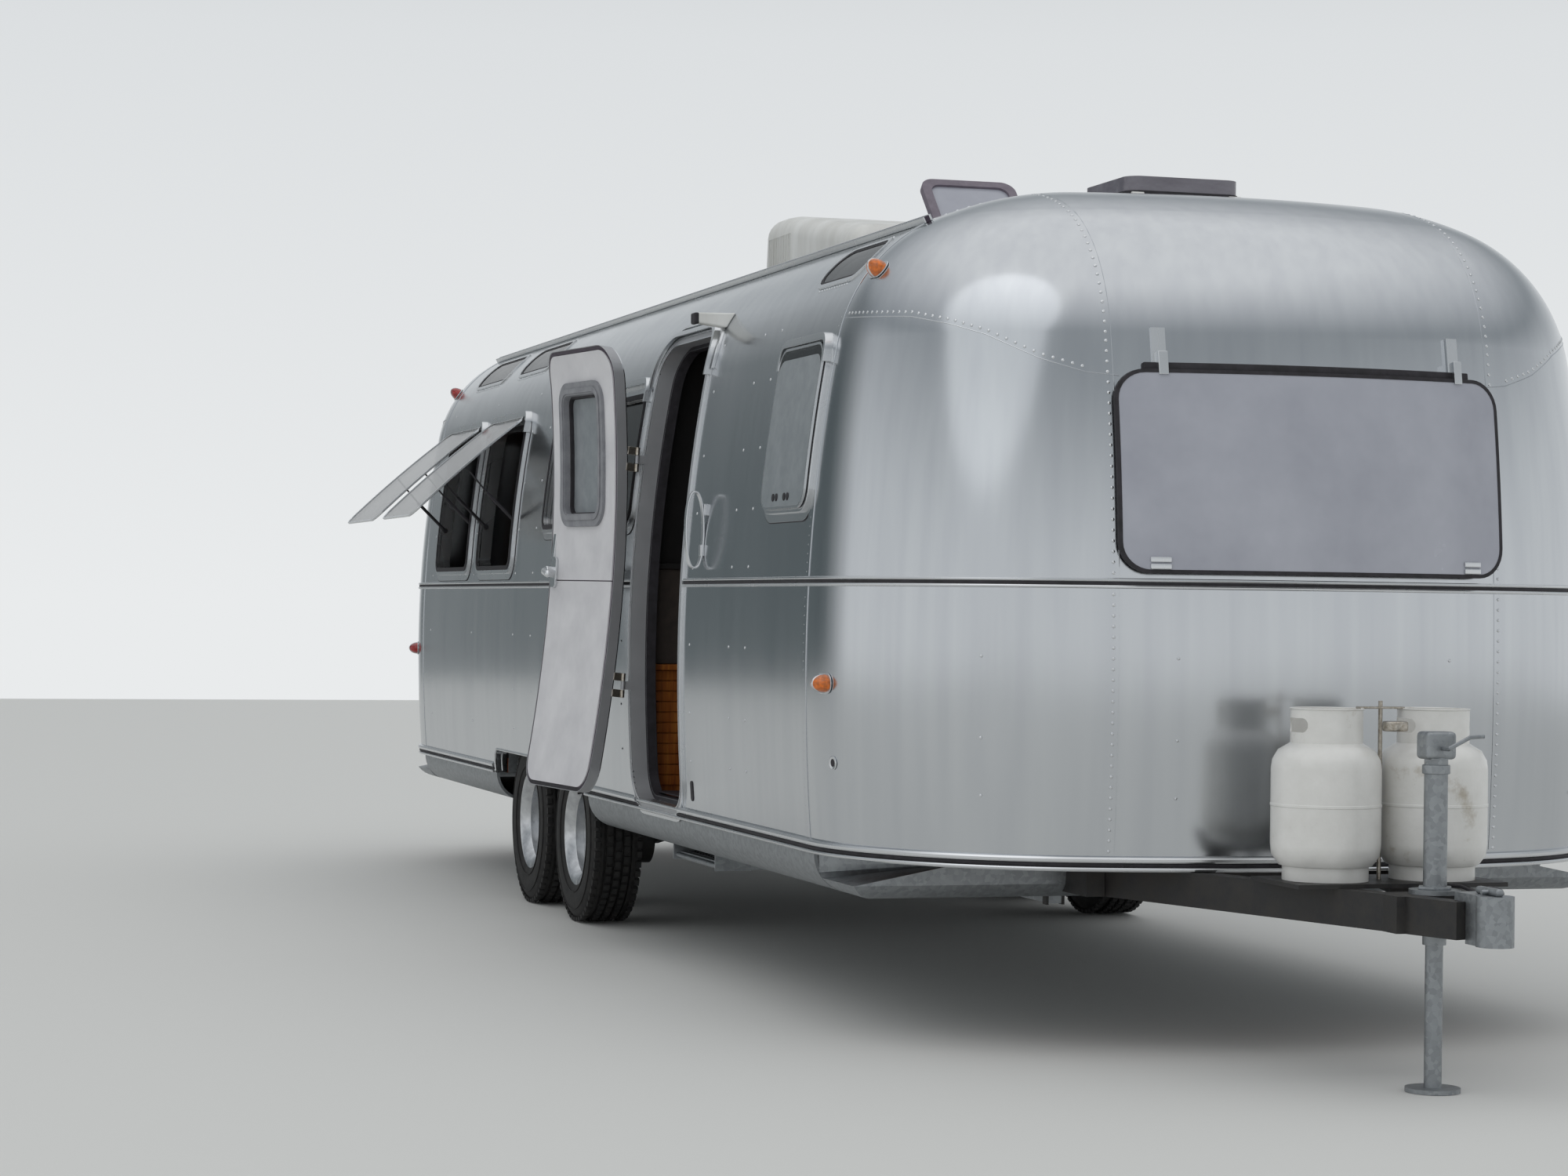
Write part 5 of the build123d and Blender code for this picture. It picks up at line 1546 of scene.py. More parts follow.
def makeEnds():
    size = (guard["width"], guard["bottom"], guard["top"], guard["corner"])
    off = guard["standoff"]
    sheet = endSheet("guardSheet", size, -0.002, None, off + guard["thickness"], -off, 0.003)
    finishPiece(sheet, "guardSheet", guardGrey)
    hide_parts("stone_guard")
    edge = [endSheet("guardEdge", size, 0.0, -0.011, off + guard["thickness"] + 0.0012, -off + 0.002, 0.002)]
    edge.append(endSheet("guardFoot", size, -0.012, -0.022, off, 0.0, 0))
    strip = endBand("hingeStrip", guard["top"] - 0.004, guard["top"] + 0.018, 0.02, 0.0)
    common(strip, block("o", seamFront, 0, -guard["bracketAcross"] - 0.05, guard["bracketAcross"] + 0.05, 1.5, 2.3))
    edge.append(bevelEdges(strip, 0.004, 2, 50))
    finishPiece(edge, "guardEdge", rubber)
    brackets = []
    for side in (-1, 1):
        for proud, low, high, half in ((0.012, 1.975, guard["bracketTop"], 0.02), (0.04, 1.972, 2.04, 0.014)):
            bracket = endBand("bracket", low, high, proud, 0.0)
            across = side * guard["bracketAcross"]
            common(bracket, block("o", seamFront, 0, across - half, across + half, low - 0.1, high + 0.1))
            brackets.append(bevelEdges(bracket, 0.004, 3, 50))
        for low in (1.41, 1.43):
            catch = endBand("catch", low, low + 0.016, 0.04, -0.034)
            common(catch, block("o", seamFront, 0, side * 0.5 - 0.03, side * 0.5 + 0.03, low - 0.1, low + 0.1))
            brackets.append(bevelEdges(catch, 0.003, 2, 50))
    finishPiece(brackets, "guardBrackets", trim)
    window = (openings["endWidth"], openings["endBottom"], openings["endTop"], openings["windowCorner"])
    ring = endSheet("endRing", window, 0.02, -0.012, 0.008, 0.0005, 0.002)
    sleeve = endSheet("endSleeve", window, -0.0005, -0.012, 0.003, shell["wall"], 0.001)
    frontRing = join([ring, sleeve], "endFrame")
    rearRing = toRear(frontRing, "endFrameRear")
    finishPiece([frontRing, rearRing], "endWindowFrames", trim)
    seal = endSheet("endSeal", window, -0.0125, -0.024, -0.003, 0.0075, 0.001)
    rearSeal = toRear(seal, "rearSeal")
    finishPiece([seal, rearSeal], "endWindowSeals", rubber)


# Lamps on the round ends
lamps = {
    "markers": ((0.141, -0.5), (0.083, 36)),
    "markerLength": 0.043,
    "markerHeight": 0.028,
    "markerDepth": 0.044,
    "tailTurn": (46, 55),
    "tailHeights": (0.8, 1.08),
}


def markerPlace(past, angle, side, rear):
    reach = -cornerAxisY - sectionPoint(angle)[0]
    turn = math.degrees(math.asin(past / reach))
    return capSpot(side * (90 - turn), angle, rear)


def makeMarkers():
    for rear, material in ((False, amber), (True, red)):
        lenses = []
        rims = []
        for past, angle in lamps["markers"]:
            for side in (-1, 1):
                place, normal = markerPlace(past, angle, side, rear)
                level = Vector((0, 0, 1)).cross(normal).normalized()
                turn = Matrix((level, normal.cross(level), normal)).transposed().to_4x4()
                deselectAll()
                bpy.ops.mesh.primitive_uv_sphere_add(segments=28, ring_count=16, radius=1)
                lens = bpy.context.object
                editMode()
                selectAll()
                bpy.ops.mesh.bisect(plane_co=(0, 0, 0.02), plane_no=(0, 0, 1), clear_inner=True, use_fill=True)
                objectMode()
                lens.scale = (lamps["markerLength"], lamps["markerHeight"], lamps["markerDepth"])
                bake(lens)
                base = roundedPlate(
                    "markerBase", 2 * lamps["markerLength"] + 0.008, 2 * lamps["markerHeight"] + 0.008, 0.029, 0.004
                )
                deselectAll()
                bpy.ops.mesh.primitive_torus_add(major_radius=1, minor_radius=0.06, major_segments=40, minor_segments=8)
                band = bpy.context.object
                band.rotation_euler = (0, math.radians(90), 0)
                bake(band)
                band.scale = (0.1, lamps["markerHeight"] * 0.985, lamps["markerDepth"] * 0.985)
                bake(band)
                for item, group in ((lens, lenses), (base, rims), (band, rims)):
                    item.matrix_world = Matrix.Translation(place) @ turn
                    bake(item)
                    group.append(item)
        name = "markersRed" if rear else "markersAmber"
        lensPiece = finishPiece(lenses, name, material)
        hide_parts("marker_lights_red" if rear else "marker_lights_amber")
        finishPiece(rims, name + "Rims", trim, smooth=40)


def roundedPlate(name, width, height, corner, thickness):
    obj = block(name, -width / 2, width / 2, -height / 2, height / 2, 0, thickness)
    roundEdges(obj, lambda a, b: abs(a.x - b.x) < 1e-6 and abs(a.y - b.y) < 1e-6, min(corner, height / 2 - 0.0005))
    return bevelEdges(obj, min(0.0015, thickness / 3), 2, 50)


print("stage: ends and lamps")
makeEnds()
makeMarkers()

# Roof gear
roofGear = {
    "coolerRear": 3.76,
    "coolerFront": 2.45,
    "coolerHalf": 0.35,
    "coolerHeight": 0.324,
    "coolerNose": 0.184,
    "coolerFlat": 0.28,
    "coolerLean": 0.04,
    "ventBase": 0.034,
    "rearAngle": 45,
}


def makeCooler():
    rear = seamFront - roofGear["coolerRear"]
    front = seamFront - roofGear["coolerFront"]
    half = roofGear["coolerHalf"]
    foot = roofTop + 0.018
    points = [
        (rear + 0.004, -half, foot), (rear + roofGear["coolerLean"], -half, roofTop + roofGear["coolerHeight"]),
        (rear + roofGear["coolerFlat"], -half, roofTop + roofGear["coolerHeight"]),
        (front - roofGear["coolerLean"], -half, roofTop + roofGear["coolerNose"]), (front - 0.004, -half, foot),
    ]
    hood = startPoint("cooler", points[0])
    drawLine(points)
    bpy.ops.mesh.edge_face_add()
    slide(y=2 * half)
    closeShape()
    middle = (rear + front) / 2
    roundEdges(hood, lambda a, b: abs(a.y - b.y) < 1e-5 and abs(a.z - b.z) > 0.05, 0.08, 6)
    bevelEdges(hood, 0.038, 5, 24)
    slots = []
    slot = block("slot", -0.005, 0.005, -0.02, 0.02, -0.085, 0.085)
    for step in range(15):
        for side in (-1, 1):
            slots.append(copyAt(slot, (rear + 0.12 + 0.021 * step, side * half, roofTop + 0.15)))
    for step in range(13):
        slots.append(copyOf(slot, "slot"))
        slots[-1].location = (rear + 0.02, -0.24 + 0.04 * step, roofTop + 0.15)
        slots[-1].rotation_euler = (0, 0, math.radians(90))
        bake(slots[-1])
    bpy.data.objects.remove(slot)
    cut(hood, join(slots, "slots"))
    finishPiece(hood, "coolerShroud", plasticWhite)
    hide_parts("air_conditioner")
    base = roundedPlate("coolerBase", front - rear - 0.02, 2 * half - 0.02, 0.08, 0.024)
    moveTo(base, (middle, 0, roofTop - 0.001))
    inner = roundedPlate("coolerCore", front - rear - 0.12, 2 * half - 0.06, 0.08, 0.12)
    moveTo(inner, (middle, 0, roofTop + 0.02))
    finishPiece([base, inner], "coolerBase", rubber)


def makeVents():
    behind, across, size = openings["vents"][0]
    top = roofTop + roofGear["ventBase"]
    x = seamFront - behind
    dome = roundedPlate("dome", size - 0.006, size - 0.006, 0.05, 0.06)
    scaleFaces(dome, lambda face: face.normal.z > 0.9, (0.8, 0.8, 1), (0, 0, 0.06))
    bevelEdges(dome, 0.012, 3, 20)
    moveTo(dome, (x, across, top + 0.003))
    rim = roundedPlate("rim", size, size, 0.05, 0.014)
    moveTo(rim, (x, across, top + 0.001))
    finishPiece(dome, "frontVentDome", acrylic, "vent_lid_front")
    finishPiece(rim, "frontVentRim", rubber, "vent_lid_front")
    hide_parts("vent_lid_front")
    behind, across, size = openings["vents"][1]
    x = seamFront - behind
    frameRing = roundedPlate("lidFrame", size, size, 0.055, 0.03)
    opening = roundedPlate("opening", size - 0.07, size - 0.07, 0.04, 0.2)
    moveTo(opening, (0, 0, -0.1))
    cut(frameRing, opening)
    bevelEdges(frameRing, 0.006, 3, 40)
    panel = roundedPlate("lidPanel", size - 0.06, size - 0.06, 0.04, 0.006)
    moveTo(panel, (0, 0, 0.014))
    pin = (x + size / 2 + 0.008, across, top + 0.0005)
    for item in (frameRing, panel):
        moveTo(item, (x, across, top + 0.0008))
        turnAbout(item, pin, "Y", roofGear["rearAngle"])
    finishPiece(frameRing, "rearVentFrame", lidMauve, "vent_lid_rear")
    finishPiece(panel, "rearVentPanel", guardGrey, "vent_lid_rear")
    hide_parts("vent_lid_rear")


print("stage: roof gear")
makeCooler()
makeVents()


# Wheels, modelled once at the origin with the outside towards +Y
wheel = {
    "tyreRadius": 0.356,
    "width": 0.215,
    "holeCount": 8,
    "nutCount": 6,
    "treadBlocks": 54,
    "offset": 1.11,
    "places": (("front", -5.03377), ("rear", -5.89377)),
}


def lathe(name, profile, steps=72, closed=True):
    # radius and place along Y, turned about the Y axis
    points = [(0, along, radius) for radius, along in profile]
    if closed:
        points.append(points[0])
    obj = startPoint(name, points[0])
    drawLine(points)
    mergeClose(0.00002)
    selectAll()
    bpy.ops.mesh.spin(steps=steps, angle=math.radians(360), center=(0, 0, 0), axis=(0, 1, 0))
    selectAll()
    mergeClose(0.00005)
    bpy.ops.mesh.normals_make_consistent(inside=False)
    objectMode()
    return obj


def aroundY(template, count, name, start=0.0):
    copies = []
    for step in range(count):
        twin = copyOf(template, name)
        twin.rotation_euler = (0, start + math.radians(360 / count * step), 0)
        bake(twin)
        copies.append(twin)
    return join(copies, name)


def makeTyre():
    half = wheel["width"] / 2
    radius = wheel["tyreRadius"]
    profile = [
        (0.198, -half + 0.024), (0.208, -half + 0.014), (0.226, -half + 0.006), (0.262, -half + 0.0),
        (0.3, -half + 0.002), (0.326, -half + 0.01), (0.341, -half + 0.022), (0.347, -half + 0.034),
    ]
    for groove in (-0.052, -0.018, 0.018, 0.052):
        profile += [
            (0.3465, groove - 0.0055), (0.338, groove - 0.004), (0.338, groove + 0.004), (0.3465, groove + 0.0055)
        ]
    profile += [(r, -y) for r, y in reversed(profile[:8])]
    tyre = lathe("tyre", profile)
    blocks = []
    for across, wide, shift in (
        (-0.086, 0.022, 0), (-0.035, 0.024, 0.5), (0.0, 0.024, 0), (0.035, 0.024, 0.5), (0.086, 0.022, 0)
    ):
        lug = block("lug", -0.014, 0.014, across - wide / 2, across + wide / 2, 0.34, radius - 0.0004)
        scaleFaces(lug, lambda face: face.normal.z > 0.9, (0.9, 0.9, 1), (0, across, radius))
        blocks.append(aroundY(lug, wheel["treadBlocks"], "lugs", math.radians(360 / wheel["treadBlocks"] * shift)))
        bpy.data.objects.remove(lug)
    rings = []
    for r in (0.235, 0.305):
        rings.append(lathe("ring", (
            (r - 0.003, half - 0.012), (r - 0.002, half + 0.0), (r + 0.002, half + 0.0), (r + 0.003, half - 0.012)
        ), 60))
    return join([tyre] + blocks + rings, "tyre")


def makeRim():
    half = wheel["width"] / 2
    barrel = lathe("barrel", (
        (0.19, -half + 0.022), (0.213, -half + 0.012), (0.216, -half + 0.016), (0.2, -half + 0.03), (0.176, -0.05),
        (0.176, 0.05), (0.2, half - 0.03), (0.216, half - 0.016), (0.213, half - 0.012), (0.19, half - 0.022),
        (0.166, 0.055), (0.166, -0.055),
    ))
    disc = lathe("disc", (
        (0.026, -0.058), (0.12, -0.052), (0.17, 0.004), (0.17, 0.02), (0.15, 0.018), (0.128, 0.008), (0.1, 0.012),
        (0.075, 0.022), (0.062, 0.024), (0.06, 0.018), (0.026, 0.018),
    ))
    hole = rod("hole", (0, -0.1, 0.123), (0, 0.1, 0.123), 0.021, 20)
    hole.scale = (1.25, 1, 1)
    bake(hole)
    holes = aroundY(hole, wheel["holeCount"], "holes")
    bpy.data.objects.remove(hole)
    cut(disc, holes)
    nut = rod("nut", (0, 0.014, 0.083), (0, 0.034, 0.083), 0.0095, 6)
    bevelEdges(nut, 0.0012, 2, 50)
    nuts = aroundY(nut, wheel["nutCount"], "nuts", math.radians(30))
    bpy.data.objects.remove(nut)
    cap = lathe("cap", ((0.0, 0.045), (0.02, 0.0445), (0.036, 0.041), (0.044, 0.034), (0.046, 0.016), (0.0, 0.016)), 40)
    return join([bevelEdges(barrel, 0.001, 1, 60), disc, nuts, cap], "rim")


def makeWheels():
    tyre = makeTyre()
    rim = makeRim()
    valve = rod("valve", (0.0, 0.06, 0.168), (0.0, 0.088, 0.163), 0.004, 10)
    tyre = join([tyre, valve], "tyre")
    for label, x in wheel["places"]:
        for side, sideName in ((-1, "curb"), (1, "road")):
            body = "wheel_" + label + "_" + sideName
            made = []
            for template in (tyre, rim):
                twin = copyOf(template, template.name + label + sideName)
                if side < 0:
                    twin.rotation_euler = (0, 0, math.radians(180))
                moveTo(twin, (x, side * wheel["offset"], wheel["tyreRadius"]))
                made.append(twin)
            finishPiece(made[0], "tyre_" + label + "_" + sideName, tyreMaterial, body)
            finishPiece(made[1], "rim_" + label + "_" + sideName, alloy, body)
            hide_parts(body)
    bpy.data.objects.remove(tyre)
    bpy.data.objects.remove(rim)


# Wheel openings: a folded lip round each edge
def makeWellLips():
    half = openings["wellLength"] / 2
    x = seamFront - openings["wellBehind"]
    outline = [(-half, 0.545), (-half, 0.59), (-half + 0.02, 0.625), (-half + 0.055, 0.644), (half - 0.055, 0.644),
               (half - 0.02, 0.625), (half, 0.59), (half, 0.545)]
    lips = []
    for side in (-1, 1):
        points = [(x + along, side * -sectionPoint(sideAngle(z))[0], z) for along, z in outline]
        lips.append(tube("lip", points, 0.006, 2))
        inner = [(px, py - side * 0.03, pz) for px, py, pz in points]
        lips.append(tube("lipInner", inner, 0.004, 2))
    finishPiece(lips, "wellLips", trim)


# Gas bottles with foot ring, weld bead, collar and valve
bottles = {"rackX": -0.33, "across": 0.165, "radius": 0.155, "rackTop": 0.5477}


def makeBottles():
    base = bottles["rackTop"]
    radius = bottles["radius"]
    profile = [
        (0.0, 0.028), (0.09, 0.03), (0.13, 0.042), (0.15, 0.07), (radius - 0.0015, 0.1), (radius - 0.0015, 0.205),
        (radius, 0.207), (radius, 0.213), (radius - 0.0015, 0.215), (radius - 0.0015, 0.31), (0.15, 0.335),
        (0.135, 0.362), (0.1, 0.383), (0.05, 0.394), (0.0, 0.396),
    ]
    body = lathe("bottle", profile, 56, closed=False)
    foot = lathe("foot", ((0.116, 0.0), (0.12, 0.0), (0.12, 0.045), (0.116, 0.045)), 48)
    collar = lathe("collar", (
        (0.098, 0.375), (0.101, 0.375), (0.101, 0.474), (0.105, 0.478), (0.101, 0.48), (0.098, 0.478)
    ), 48)
    bottle = join([body, foot], "bottle")
    for item in (bottle, collar):
        item.rotation_euler = (math.radians(90), 0, 0)
        bake(item)
    cut(collar, roundedBlock("gap", 0, 0.11, 0.412, 0.452, 0.018, -0.2, 0.2))
    bottle = join([bottle, collar], "bottle")
    valve = [rod("stem", (0, 0, 0.39), (0, 0, 0.43), 0.014, 20), rod("knob", (0, 0, 0.434), (0, 0, 0.458), 0.026, 10),
             rod("port", (0, 0, 0.42), (0.055, 0, 0.42), 0.011, 16)]
    brass = bevelEdges(join(valve, "valve"), 0.002, 2, 50)
    made = []
    brasses = []
    for side in (-1, 1):
        for template, group in ((bottle, made), (brass, brasses)):
            group.append(copyAt(template, (bottles["rackX"], side * bottles["across"], base)))
    bpy.data.objects.remove(bottle)
    bpy.data.objects.remove(brass)
    finishPiece(made, "gasBottles", enamel)
    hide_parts("gas_bottles")
    x = bottles["rackX"]
    strap = rod("holdRod", (x, 0, base), (x, 0, base + 0.5), 0.006, 12)
    bar = block("holdBar", x - 0.013, x + 0.013, -0.07, 0.07, base + 0.478, base + 0.484)
    regulator = rod("regulator", (x + 0.09, 0, base + 0.418), (x + 0.09, 0, base + 0.446), 0.036, 32)
    brasses += [strap, bevelEdges(bar, 0.0015, 2, 50), bevelEdges(regulator, 0.006, 3, 50)]
    finishPiece(brasses, "bottleGear", hingeBronze)


# Jack head and crank, coupler latch, light lead and plug
tongue = {"top": 0.5475, "crankRadius": 0.006, "leadRadius": 0.0055, "plugRadius": 0.017}


def makeTongueGear():
    top = tongue["top"]
    parts = []
    head = block("jackHead", -0.035, 0.035, -0.045, 0.045, 0.9, 0.975)
    parts.append(bevelEdges(head, 0.012, 4, 50))
    parts.append(tube("crank", (
        (0.03, 0, 0.93), (0.07, 0, 0.93), (0.075, 0.0, 0.932), (0.077, 0.06, 0.962), (0.08, 0.1, 0.965)
    ), tongue["crankRadius"]))
    parts.append(bevelEdges(rod("collarRing", (0, 0, 0.86), (0, 0, 0.885), 0.038, 32), 0.003, 2, 50))
    parts.append(bevelEdges(rod("flangeRing", (0, 0, top), (0, 0, 0.556), 0.05, 6), 0.002, 2, 50))
    lever = roundedBlock("latch", 0.3, 0.12, 0.5575, 0.578, 0.009, -0.012, 0.012)
    parts.append(bevelEdges(lever, 0.003, 2, 50))
    parts.append(rod("latchPin", (0.31, -0.03, 0.567), (0.31, 0.03, 0.567), 0.006, 14))
    finishPiece(parts, "tongueGear", zinc)
    cable = [
        tube("cable", (
            (-0.1, 0.09, 0.55), (0.02, 0.07, 0.556), (0.12, 0.06, top), (0.2, 0.052, top), (0.24, 0.05, top)
        ), tongue["leadRadius"]),
        bevelEdges(rod("plug", (0.2, 0.054, 0.556), (0.265, 0.046, 0.556), tongue["plugRadius"], 24), 0.003, 2, 50),
    ]
    finishPiece(cable, "lightLead", rubber)


# Tail lamps with their bezels
def makeRearGear():
    lenses = []
    bezels = []
    low, high = lamps["tailHeights"]
    for side in (-1, 1):
        start, stop = lamps["tailTurn"]
        for bottom, top, proud, grow, group in (
            (low + 0.012, high - 0.012, 0.028, 0.0, lenses), (low, high, 0.012, 0.7, bezels),
        ):
            heights = [bottom + (top - bottom) * step / 6 for step in range(7)]
            heading = side * (90 - (start - grow))
            column = [capSpot(heading, sideAngle(height), True, proud)[0] for height in heights]
            piece = startPoint("lamp", column[0])
            drawLine(column)
            centre = (seamRear, side * cornerAxisY, 0)
            turn = -side * (stop - start + 2 * grow)
            spin(centre, (0, 0, 1), turn, 10)
            closeShape()
            if sum(face.normal.x for face in piece.data.polygons) > 0:
                flipFaces()
            thicken(piece, proud - 0.0005)
            group.append(bevelEdges(piece, 0.005 if proud > 0.02 else 0.002, 3, 50))
    lensPiece = finishPiece(lenses, "tailLenses", red)
    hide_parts("tail_lamps")
    finishPiece(bezels, "tailBezels", trim)


# What shows through the doorway
cabin = {
    "sideX": -3.872,
    "sideThickness": 0.018,
    "frontX": -3.848,
    "shelf": 1.06,
    "counter": 1.4305,
    "counterBottom": 1.424,
    "slatFrom": 0.62,
    "slatPitch": 0.039,
    "slatHeight": 0.036,
    "slatCount": 11,
}


def makeCabin():
    x = cabin["sideX"]
    angles = [sideAngle(cabin["counter"] + 0.004), 4.5, 6, 8, 10, 14, 20, 26, 32, 38, 44, 50, 56, 62]
    points = [(x, *sectionPoint(angle, -0.054)) for angle in angles]
    points += [(x, -0.5, points[-1][2]), (x, -0.5, points[0][2])]
    wall = startPoint("cabinSide", points[0])
    drawLine(points)
    bpy.ops.mesh.edge_face_add()
    slide(x=-cabin["sideThickness"])
    closeShape()
    bevelEdges(wall, 0.002, 2, 50)
    finishPiece(wall, "cabinSide", darkLaminate)
    front = cabin["frontX"]
    face = block("upperFront", front, -3.838, -1.2, -0.645, cabin["shelf"] + 0.012, cabin["counterBottom"])
    finishPiece(bevelEdges(face, 0.003, 2, 50), "galleyUpperFront", brownLaminate)
    shelf = block("shelf", front, -3.822, -1.2, -0.64, cabin["shelf"] - 0.012, cabin["shelf"] + 0.01)
    top = block("counter", -3.8478, -3.826, -1.19, -0.63, cabin["counterBottom"], 1.446)
    finishPiece(bevelEdges(top, 0.004, 3, 50), "galleyCounter", darkLaminate)
    slats = [bevelEdges(shelf, 0.004, 3, 50)]
    for step in range(cabin["slatCount"]):
        low = cabin["slatFrom"] + cabin["slatPitch"] * step
        slat = block("slat", front, -3.8405, -1.2, -0.65, low, low + cabin["slatHeight"])
        slats.append(bevelEdges(slat, 0.004, 2, 50))
    finishPiece(slats, "galleyFront", wood)


# The grab handle as a closed bright loop on two feet
grab = {"behind": 1.265, "bottom": 1.42, "top": 1.68, "reach": 0.07, "band": 0.028}


def makeGrabHandle():
    x = seamFront - grab["behind"]
    middle = (grab["bottom"] + grab["top"]) / 2
    half = (grab["top"] - grab["bottom"]) / 2
    wallY = sectionPoint(angleAt(middle))[0]
    points = []
    for step in range(41):
        turn = 2 * math.pi * step / 40
        across = math.copysign(abs(math.sin(turn)) ** 0.8, math.sin(turn))
        points.append((
            x, wallY - (grab["reach"] / 2 + 0.001) - (grab["reach"] / 2 - 0.004) * across,
            middle - half * math.cos(turn),
        ))
    points[-1] = points[0]
    strap = startPoint("strap", points[0])
    drawLine(points)
    mergeClose(0.00005)
    selectAll()
    slide(x=grab["band"])
    selectAll()
    bpy.ops.transform.translate(value=(-grab["band"] / 2, 0, 0))
    bpy.ops.mesh.normals_make_consistent(inside=False)
    objectMode()
    applyModifier(strap, "SOLIDIFY", thickness=0.006, offset=0, use_even_offset=True)
    bevelEdges(strap, 0.0022, 3, 50)
    feet = []
    for z in (grab["bottom"] + 0.06, grab["top"] - 0.06):
        footY = sectionPoint(angleAt(z))[0]
        pad = block("foot", x - 0.012, x + 0.012, footY - 0.012, footY + 0.004, z - 0.02, z + 0.02)
        feet.append(bevelEdges(pad, 0.003, 2, 50))
    finishPiece([strap] + feet, "grabStrap", trim)
    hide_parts("grab_handle")


# Roof rails with their drip edge
def makeRoofRails():
    gutter = shell["gutterAngle"]
    rails = []
    shades = []
    for low, high, proud, group in ((gutter - 2.7, gutter - 0.7, 0.02, shades), (gutter - 0.9, gutter, 0.0215, rails),
                                    (gutter - 3.0, gutter - 2.3, 0.021, rails)):
        rail = wallBand("rail", low, high, proud, -0.0002, seamRear, seamFront)
        bevelEdges(rail, 0.0025, 2, 50)
        group += [rail, mirrorAcross(rail, "railRoad")]
    finishPiece(rails, "roofRails", trim)
    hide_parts("roof_rails")
    finishPiece(shades, "roofRailInsert", gasketPurple)


belly = {"length": 0.34, "halfWidth": 1.252, "bottom": 0.4165, "top": 0.5345, "corner": 0.1}


def makeBellyEnds():
    # sheet noses that close the belly pan under both round ends
    tip = seamFront + belly["length"]
    half = belly["halfWidth"]
    nose = block("bellyNose", seamFront - 0.01, tip, -half, half, belly["bottom"], belly["top"])
    roundEdges(nose, lambda a, b: max(a.z, b.z) < 0.42 and abs(a.y - b.y) < 1e-5 and abs(a.y) > 1, belly["corner"])
    scaleFaces(nose, lambda face: face.normal.x > 0.9, (1, 0.72, 0.12), (tip, 0, belly["top"]))
    bevelEdges(nose, 0.004, 2, 30)
    finishPiece([nose, toRear(nose, "bellyTail")], "bellyEnds", zinc)


fittings = {"keyTurn": 13, "keyHeight": 0.822, "slotBehind": 1.381, "ribCount": 9, "ribPitch": 0.022, "ribHalf": 0.26}


def makeSmallThings():
    # key dimple on the curb front corner and the slot low beside the doorway
    place, normal = capSpot(-(90 - fittings["keyTurn"]), sideAngle(fittings["keyHeight"]))
    turned = normal.to_track_quat("Z", "Y").to_matrix().to_4x4()
    ring = lathe("keyRing", ((0.012, 0.0), (0.02, 0.0), (0.0215, 0.002), (0.019, 0.0035), (0.012, 0.002)), 32)
    plug = lathe("keyPlug", ((0.0, 0.0015), (0.0125, 0.0012), (0.0125, -0.002), (0.0, -0.002)), 28)
    for item in (ring, plug):
        item.rotation_euler = (math.radians(90), 0, 0)
        bake(item)
        item.matrix_world = Matrix.Translation(place) @ turned
        bake(item)
    finishPiece(ring, "keyRing", trim)
    x = seamFront - fittings["slotBehind"]
    span = (x - 0.1, x + 0.1)
    slot = wallSheet("slot", span, 0.56, 0.76, 0.003, 0.001, curbBlock("o", x, 0.03, 0.612, 0.682, 0.013), None, 0.0015)
    finishPiece([plug, slot], "darkFittings", rubber)
    ribs = []
    rib = block("rib", doorX - fittings["ribHalf"], doorX + fittings["ribHalf"], -0.004, 0.004, 0.381, 0.3845)
    for step in range(fittings["ribCount"]):
        ribs.append(copyAt(rib, (0, -1.08 + fittings["ribPitch"] * step, 0)))
    bpy.data.objects.remove(rib)
    finishPiece(ribs, "stepRibs", rubber, "entry_step")


print("stage: wheels")
makeWheels()
makeWellLips()
print("stage: tongue and rear")
makeBottles()
makeTongueGear()
makeRearGear()
print("stage: doorway and small things")
makeCabin()
makeGrabHandle()
makeRoofRails()
makeBellyEnds()
makeSmallThings()

# Camera at the photograph's place and angle
view = {
    "place": (8.0096, -4.2706, 1.2938),
    "turn": 16.8028,
    "climb": 0.3084,
    "roll": 0.7099,
    "focalPixels": 4189.96,
    "imageWidth": 2000,
}


def makeCamera():
    forward = Vector((-cosine(view["turn"]) * cosine(view["climb"]), sine(view["turn"]) * cosine(view["climb"]),
                      sine(view["climb"])))
    right = Vector((sine(view["turn"]), cosine(view["turn"]), 0))
    up = right.cross(forward)
    rolledRight = right * cosine(view["roll"]) + up * sine(view["roll"])
    rolledUp = up * cosine(view["roll"]) - right * sine(view["roll"])
    camera = bpy.data.cameras.new("camera")
    camera.sensor_width = 36
    camera.lens = view["focalPixels"] / view["imageWidth"] * camera.sensor_width
    camera.clip_end = 200
    cameraObject = bpy.data.objects.new("camera", camera)
    bpy.context.scene.collection.objects.link(cameraObject)
    turned = Matrix((rolledRight, rolledUp, -forward)).transposed().to_4x4()
    cameraObject.matrix_world = Matrix.Translation(view["place"]) @ turned
    bpy.context.scene.camera = cameraObject


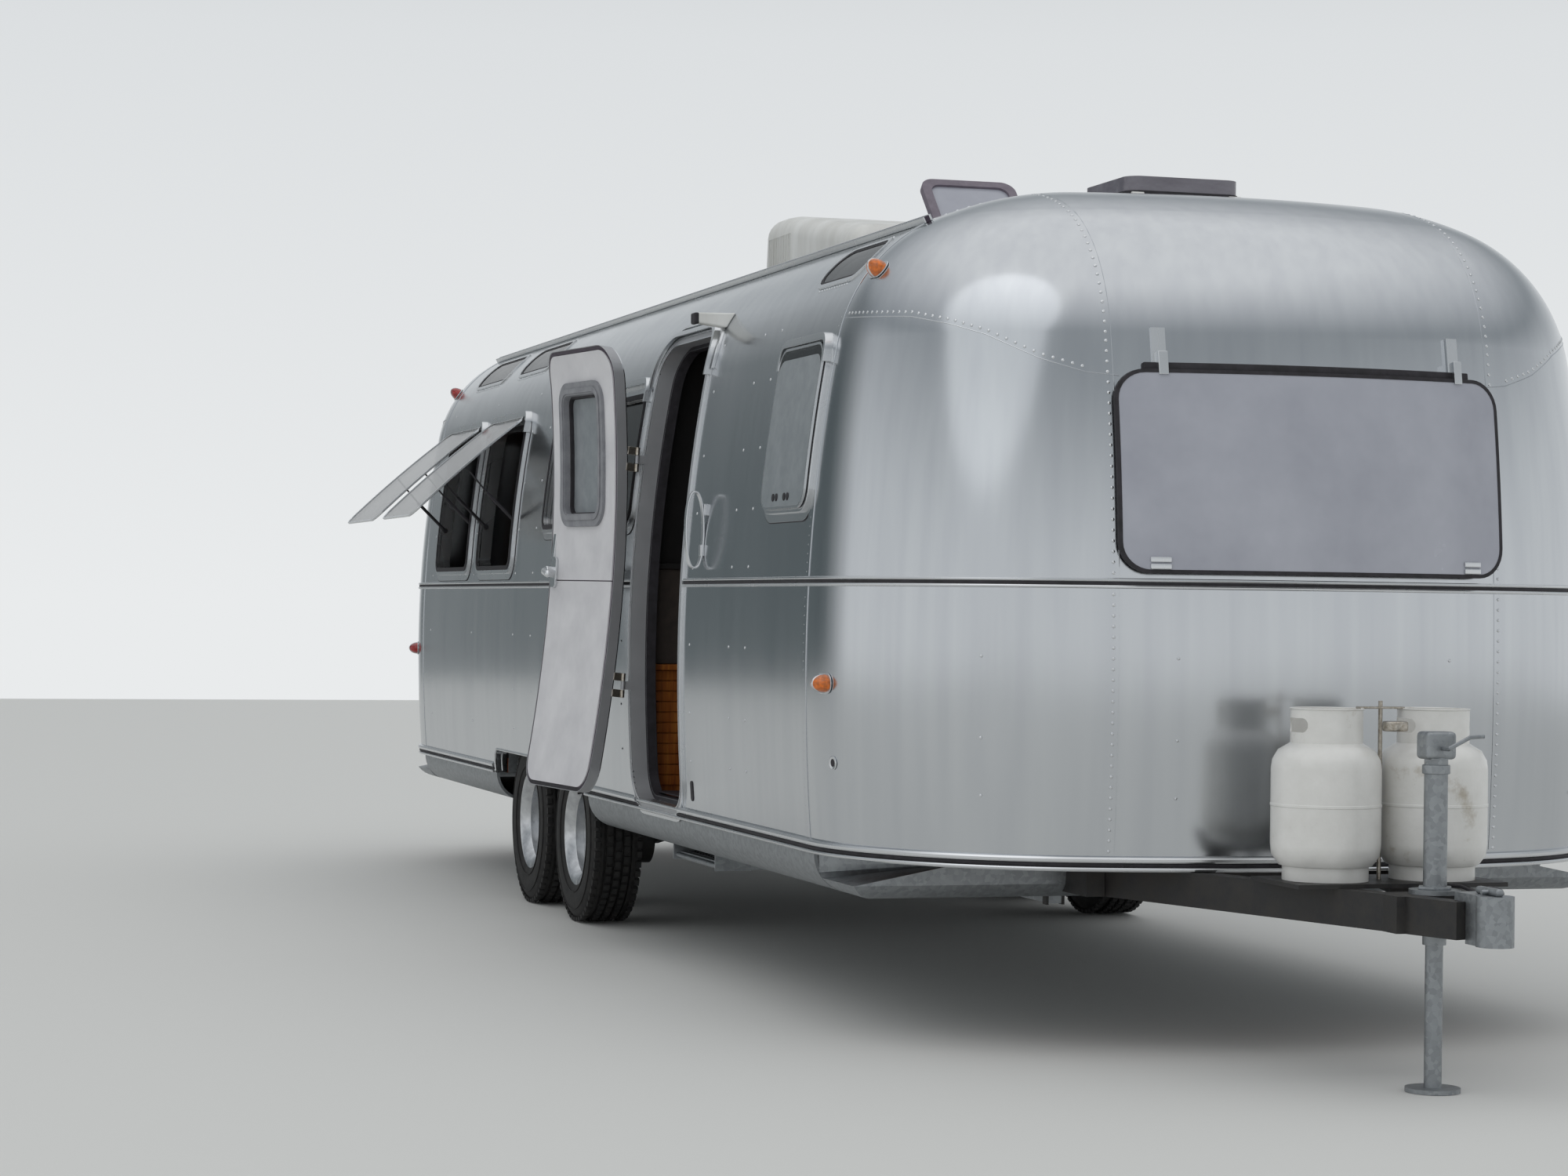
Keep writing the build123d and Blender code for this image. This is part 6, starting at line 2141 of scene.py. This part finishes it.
studio = {
    "floorSize": 60,
    "floorPlace": (-4.5, 0, -0.001),
    "floorColour": "#D9D9D6",
    # height of the look direction, colour of the studio wall and ceiling there
    "sky": ((0.0, "#E9EBEC"), (0.17, "#DCDFE1"), (0.4, "#999FA3"), (0.62, "#CDD0D3"), (0.85, "#F8F9FA")),
    "shadeFrom": (-0.906, -0.423, 0.0),
    "shade": ((0.88, "#FFFFFF"), (0.985, "#697173")),
    "keyPlace": (5.5, -12, 12),
    "keyAim": (-4, 0, 1),
    "keyEnergy": 270,
    "keySize": 16,
}


def makeStudio():
    deselectAll()
    bpy.ops.mesh.primitive_plane_add(size=studio["floorSize"], location=studio["floorPlace"])
    floor = bpy.context.object
    floor.name = "studioFloor"
    material, tree, shader, place = newMaterial("studioFloorPaint")
    setInputs(shader, {"Base Color": linearColour(studio["floorColour"]), "Roughness": 0.8})
    floor.data.materials.append(material)
    world = bpy.data.worlds.new("studioWorld")
    world.use_nodes = True
    bpy.context.scene.world = world
    tree = world.node_tree
    tree.nodes.clear()
    direction = addNode(tree, "TexCoord").outputs["Generated"]
    climb = addNode(tree, "SeparateXYZ", inputs={"Vector": direction}).outputs["Z"]
    sky = addNode(tree, "ValToRGB", {"stops": studio["sky"]}, {"Fac": climb})
    toShade = addNode(
        tree, "VectorMath", {"operation": "DOT_PRODUCT"}, {0: direction, 1: studio["shadeFrom"]}
    ).outputs["Value"]
    shade = addNode(tree, "ValToRGB", {"stops": studio["shade"]}, {"Fac": toShade})
    shaded = addNode(
        tree, "Mix", {"data_type": "RGBA", "blend_type": "MULTIPLY"}, {0: 1.0, 6: sky, 7: shade}
    ).outputs[2]
    skyLight = addNode(tree, "Background", inputs={"Color": shaded, "Strength": 1.0})
    addNode(tree, "OutputWorld", inputs={"Surface": skyLight})
    lamp = bpy.data.lights.new("softKey", "AREA")
    lamp.energy = studio["keyEnergy"]
    lamp.shape = "DISK"
    lamp.size = studio["keySize"]
    lampObject = bpy.data.objects.new("softKey", lamp)
    lampObject.location = studio["keyPlace"]
    look = Vector(studio["keyAim"]) - Vector(studio["keyPlace"])
    lampObject.rotation_euler = look.to_track_quat("-Z", "Y").to_euler()
    bpy.context.scene.collection.objects.link(lampObject)


print("stage: camera and light")
makeCamera()
makeStudio()
bpy.context.scene.view_settings.view_transform = "Standard"
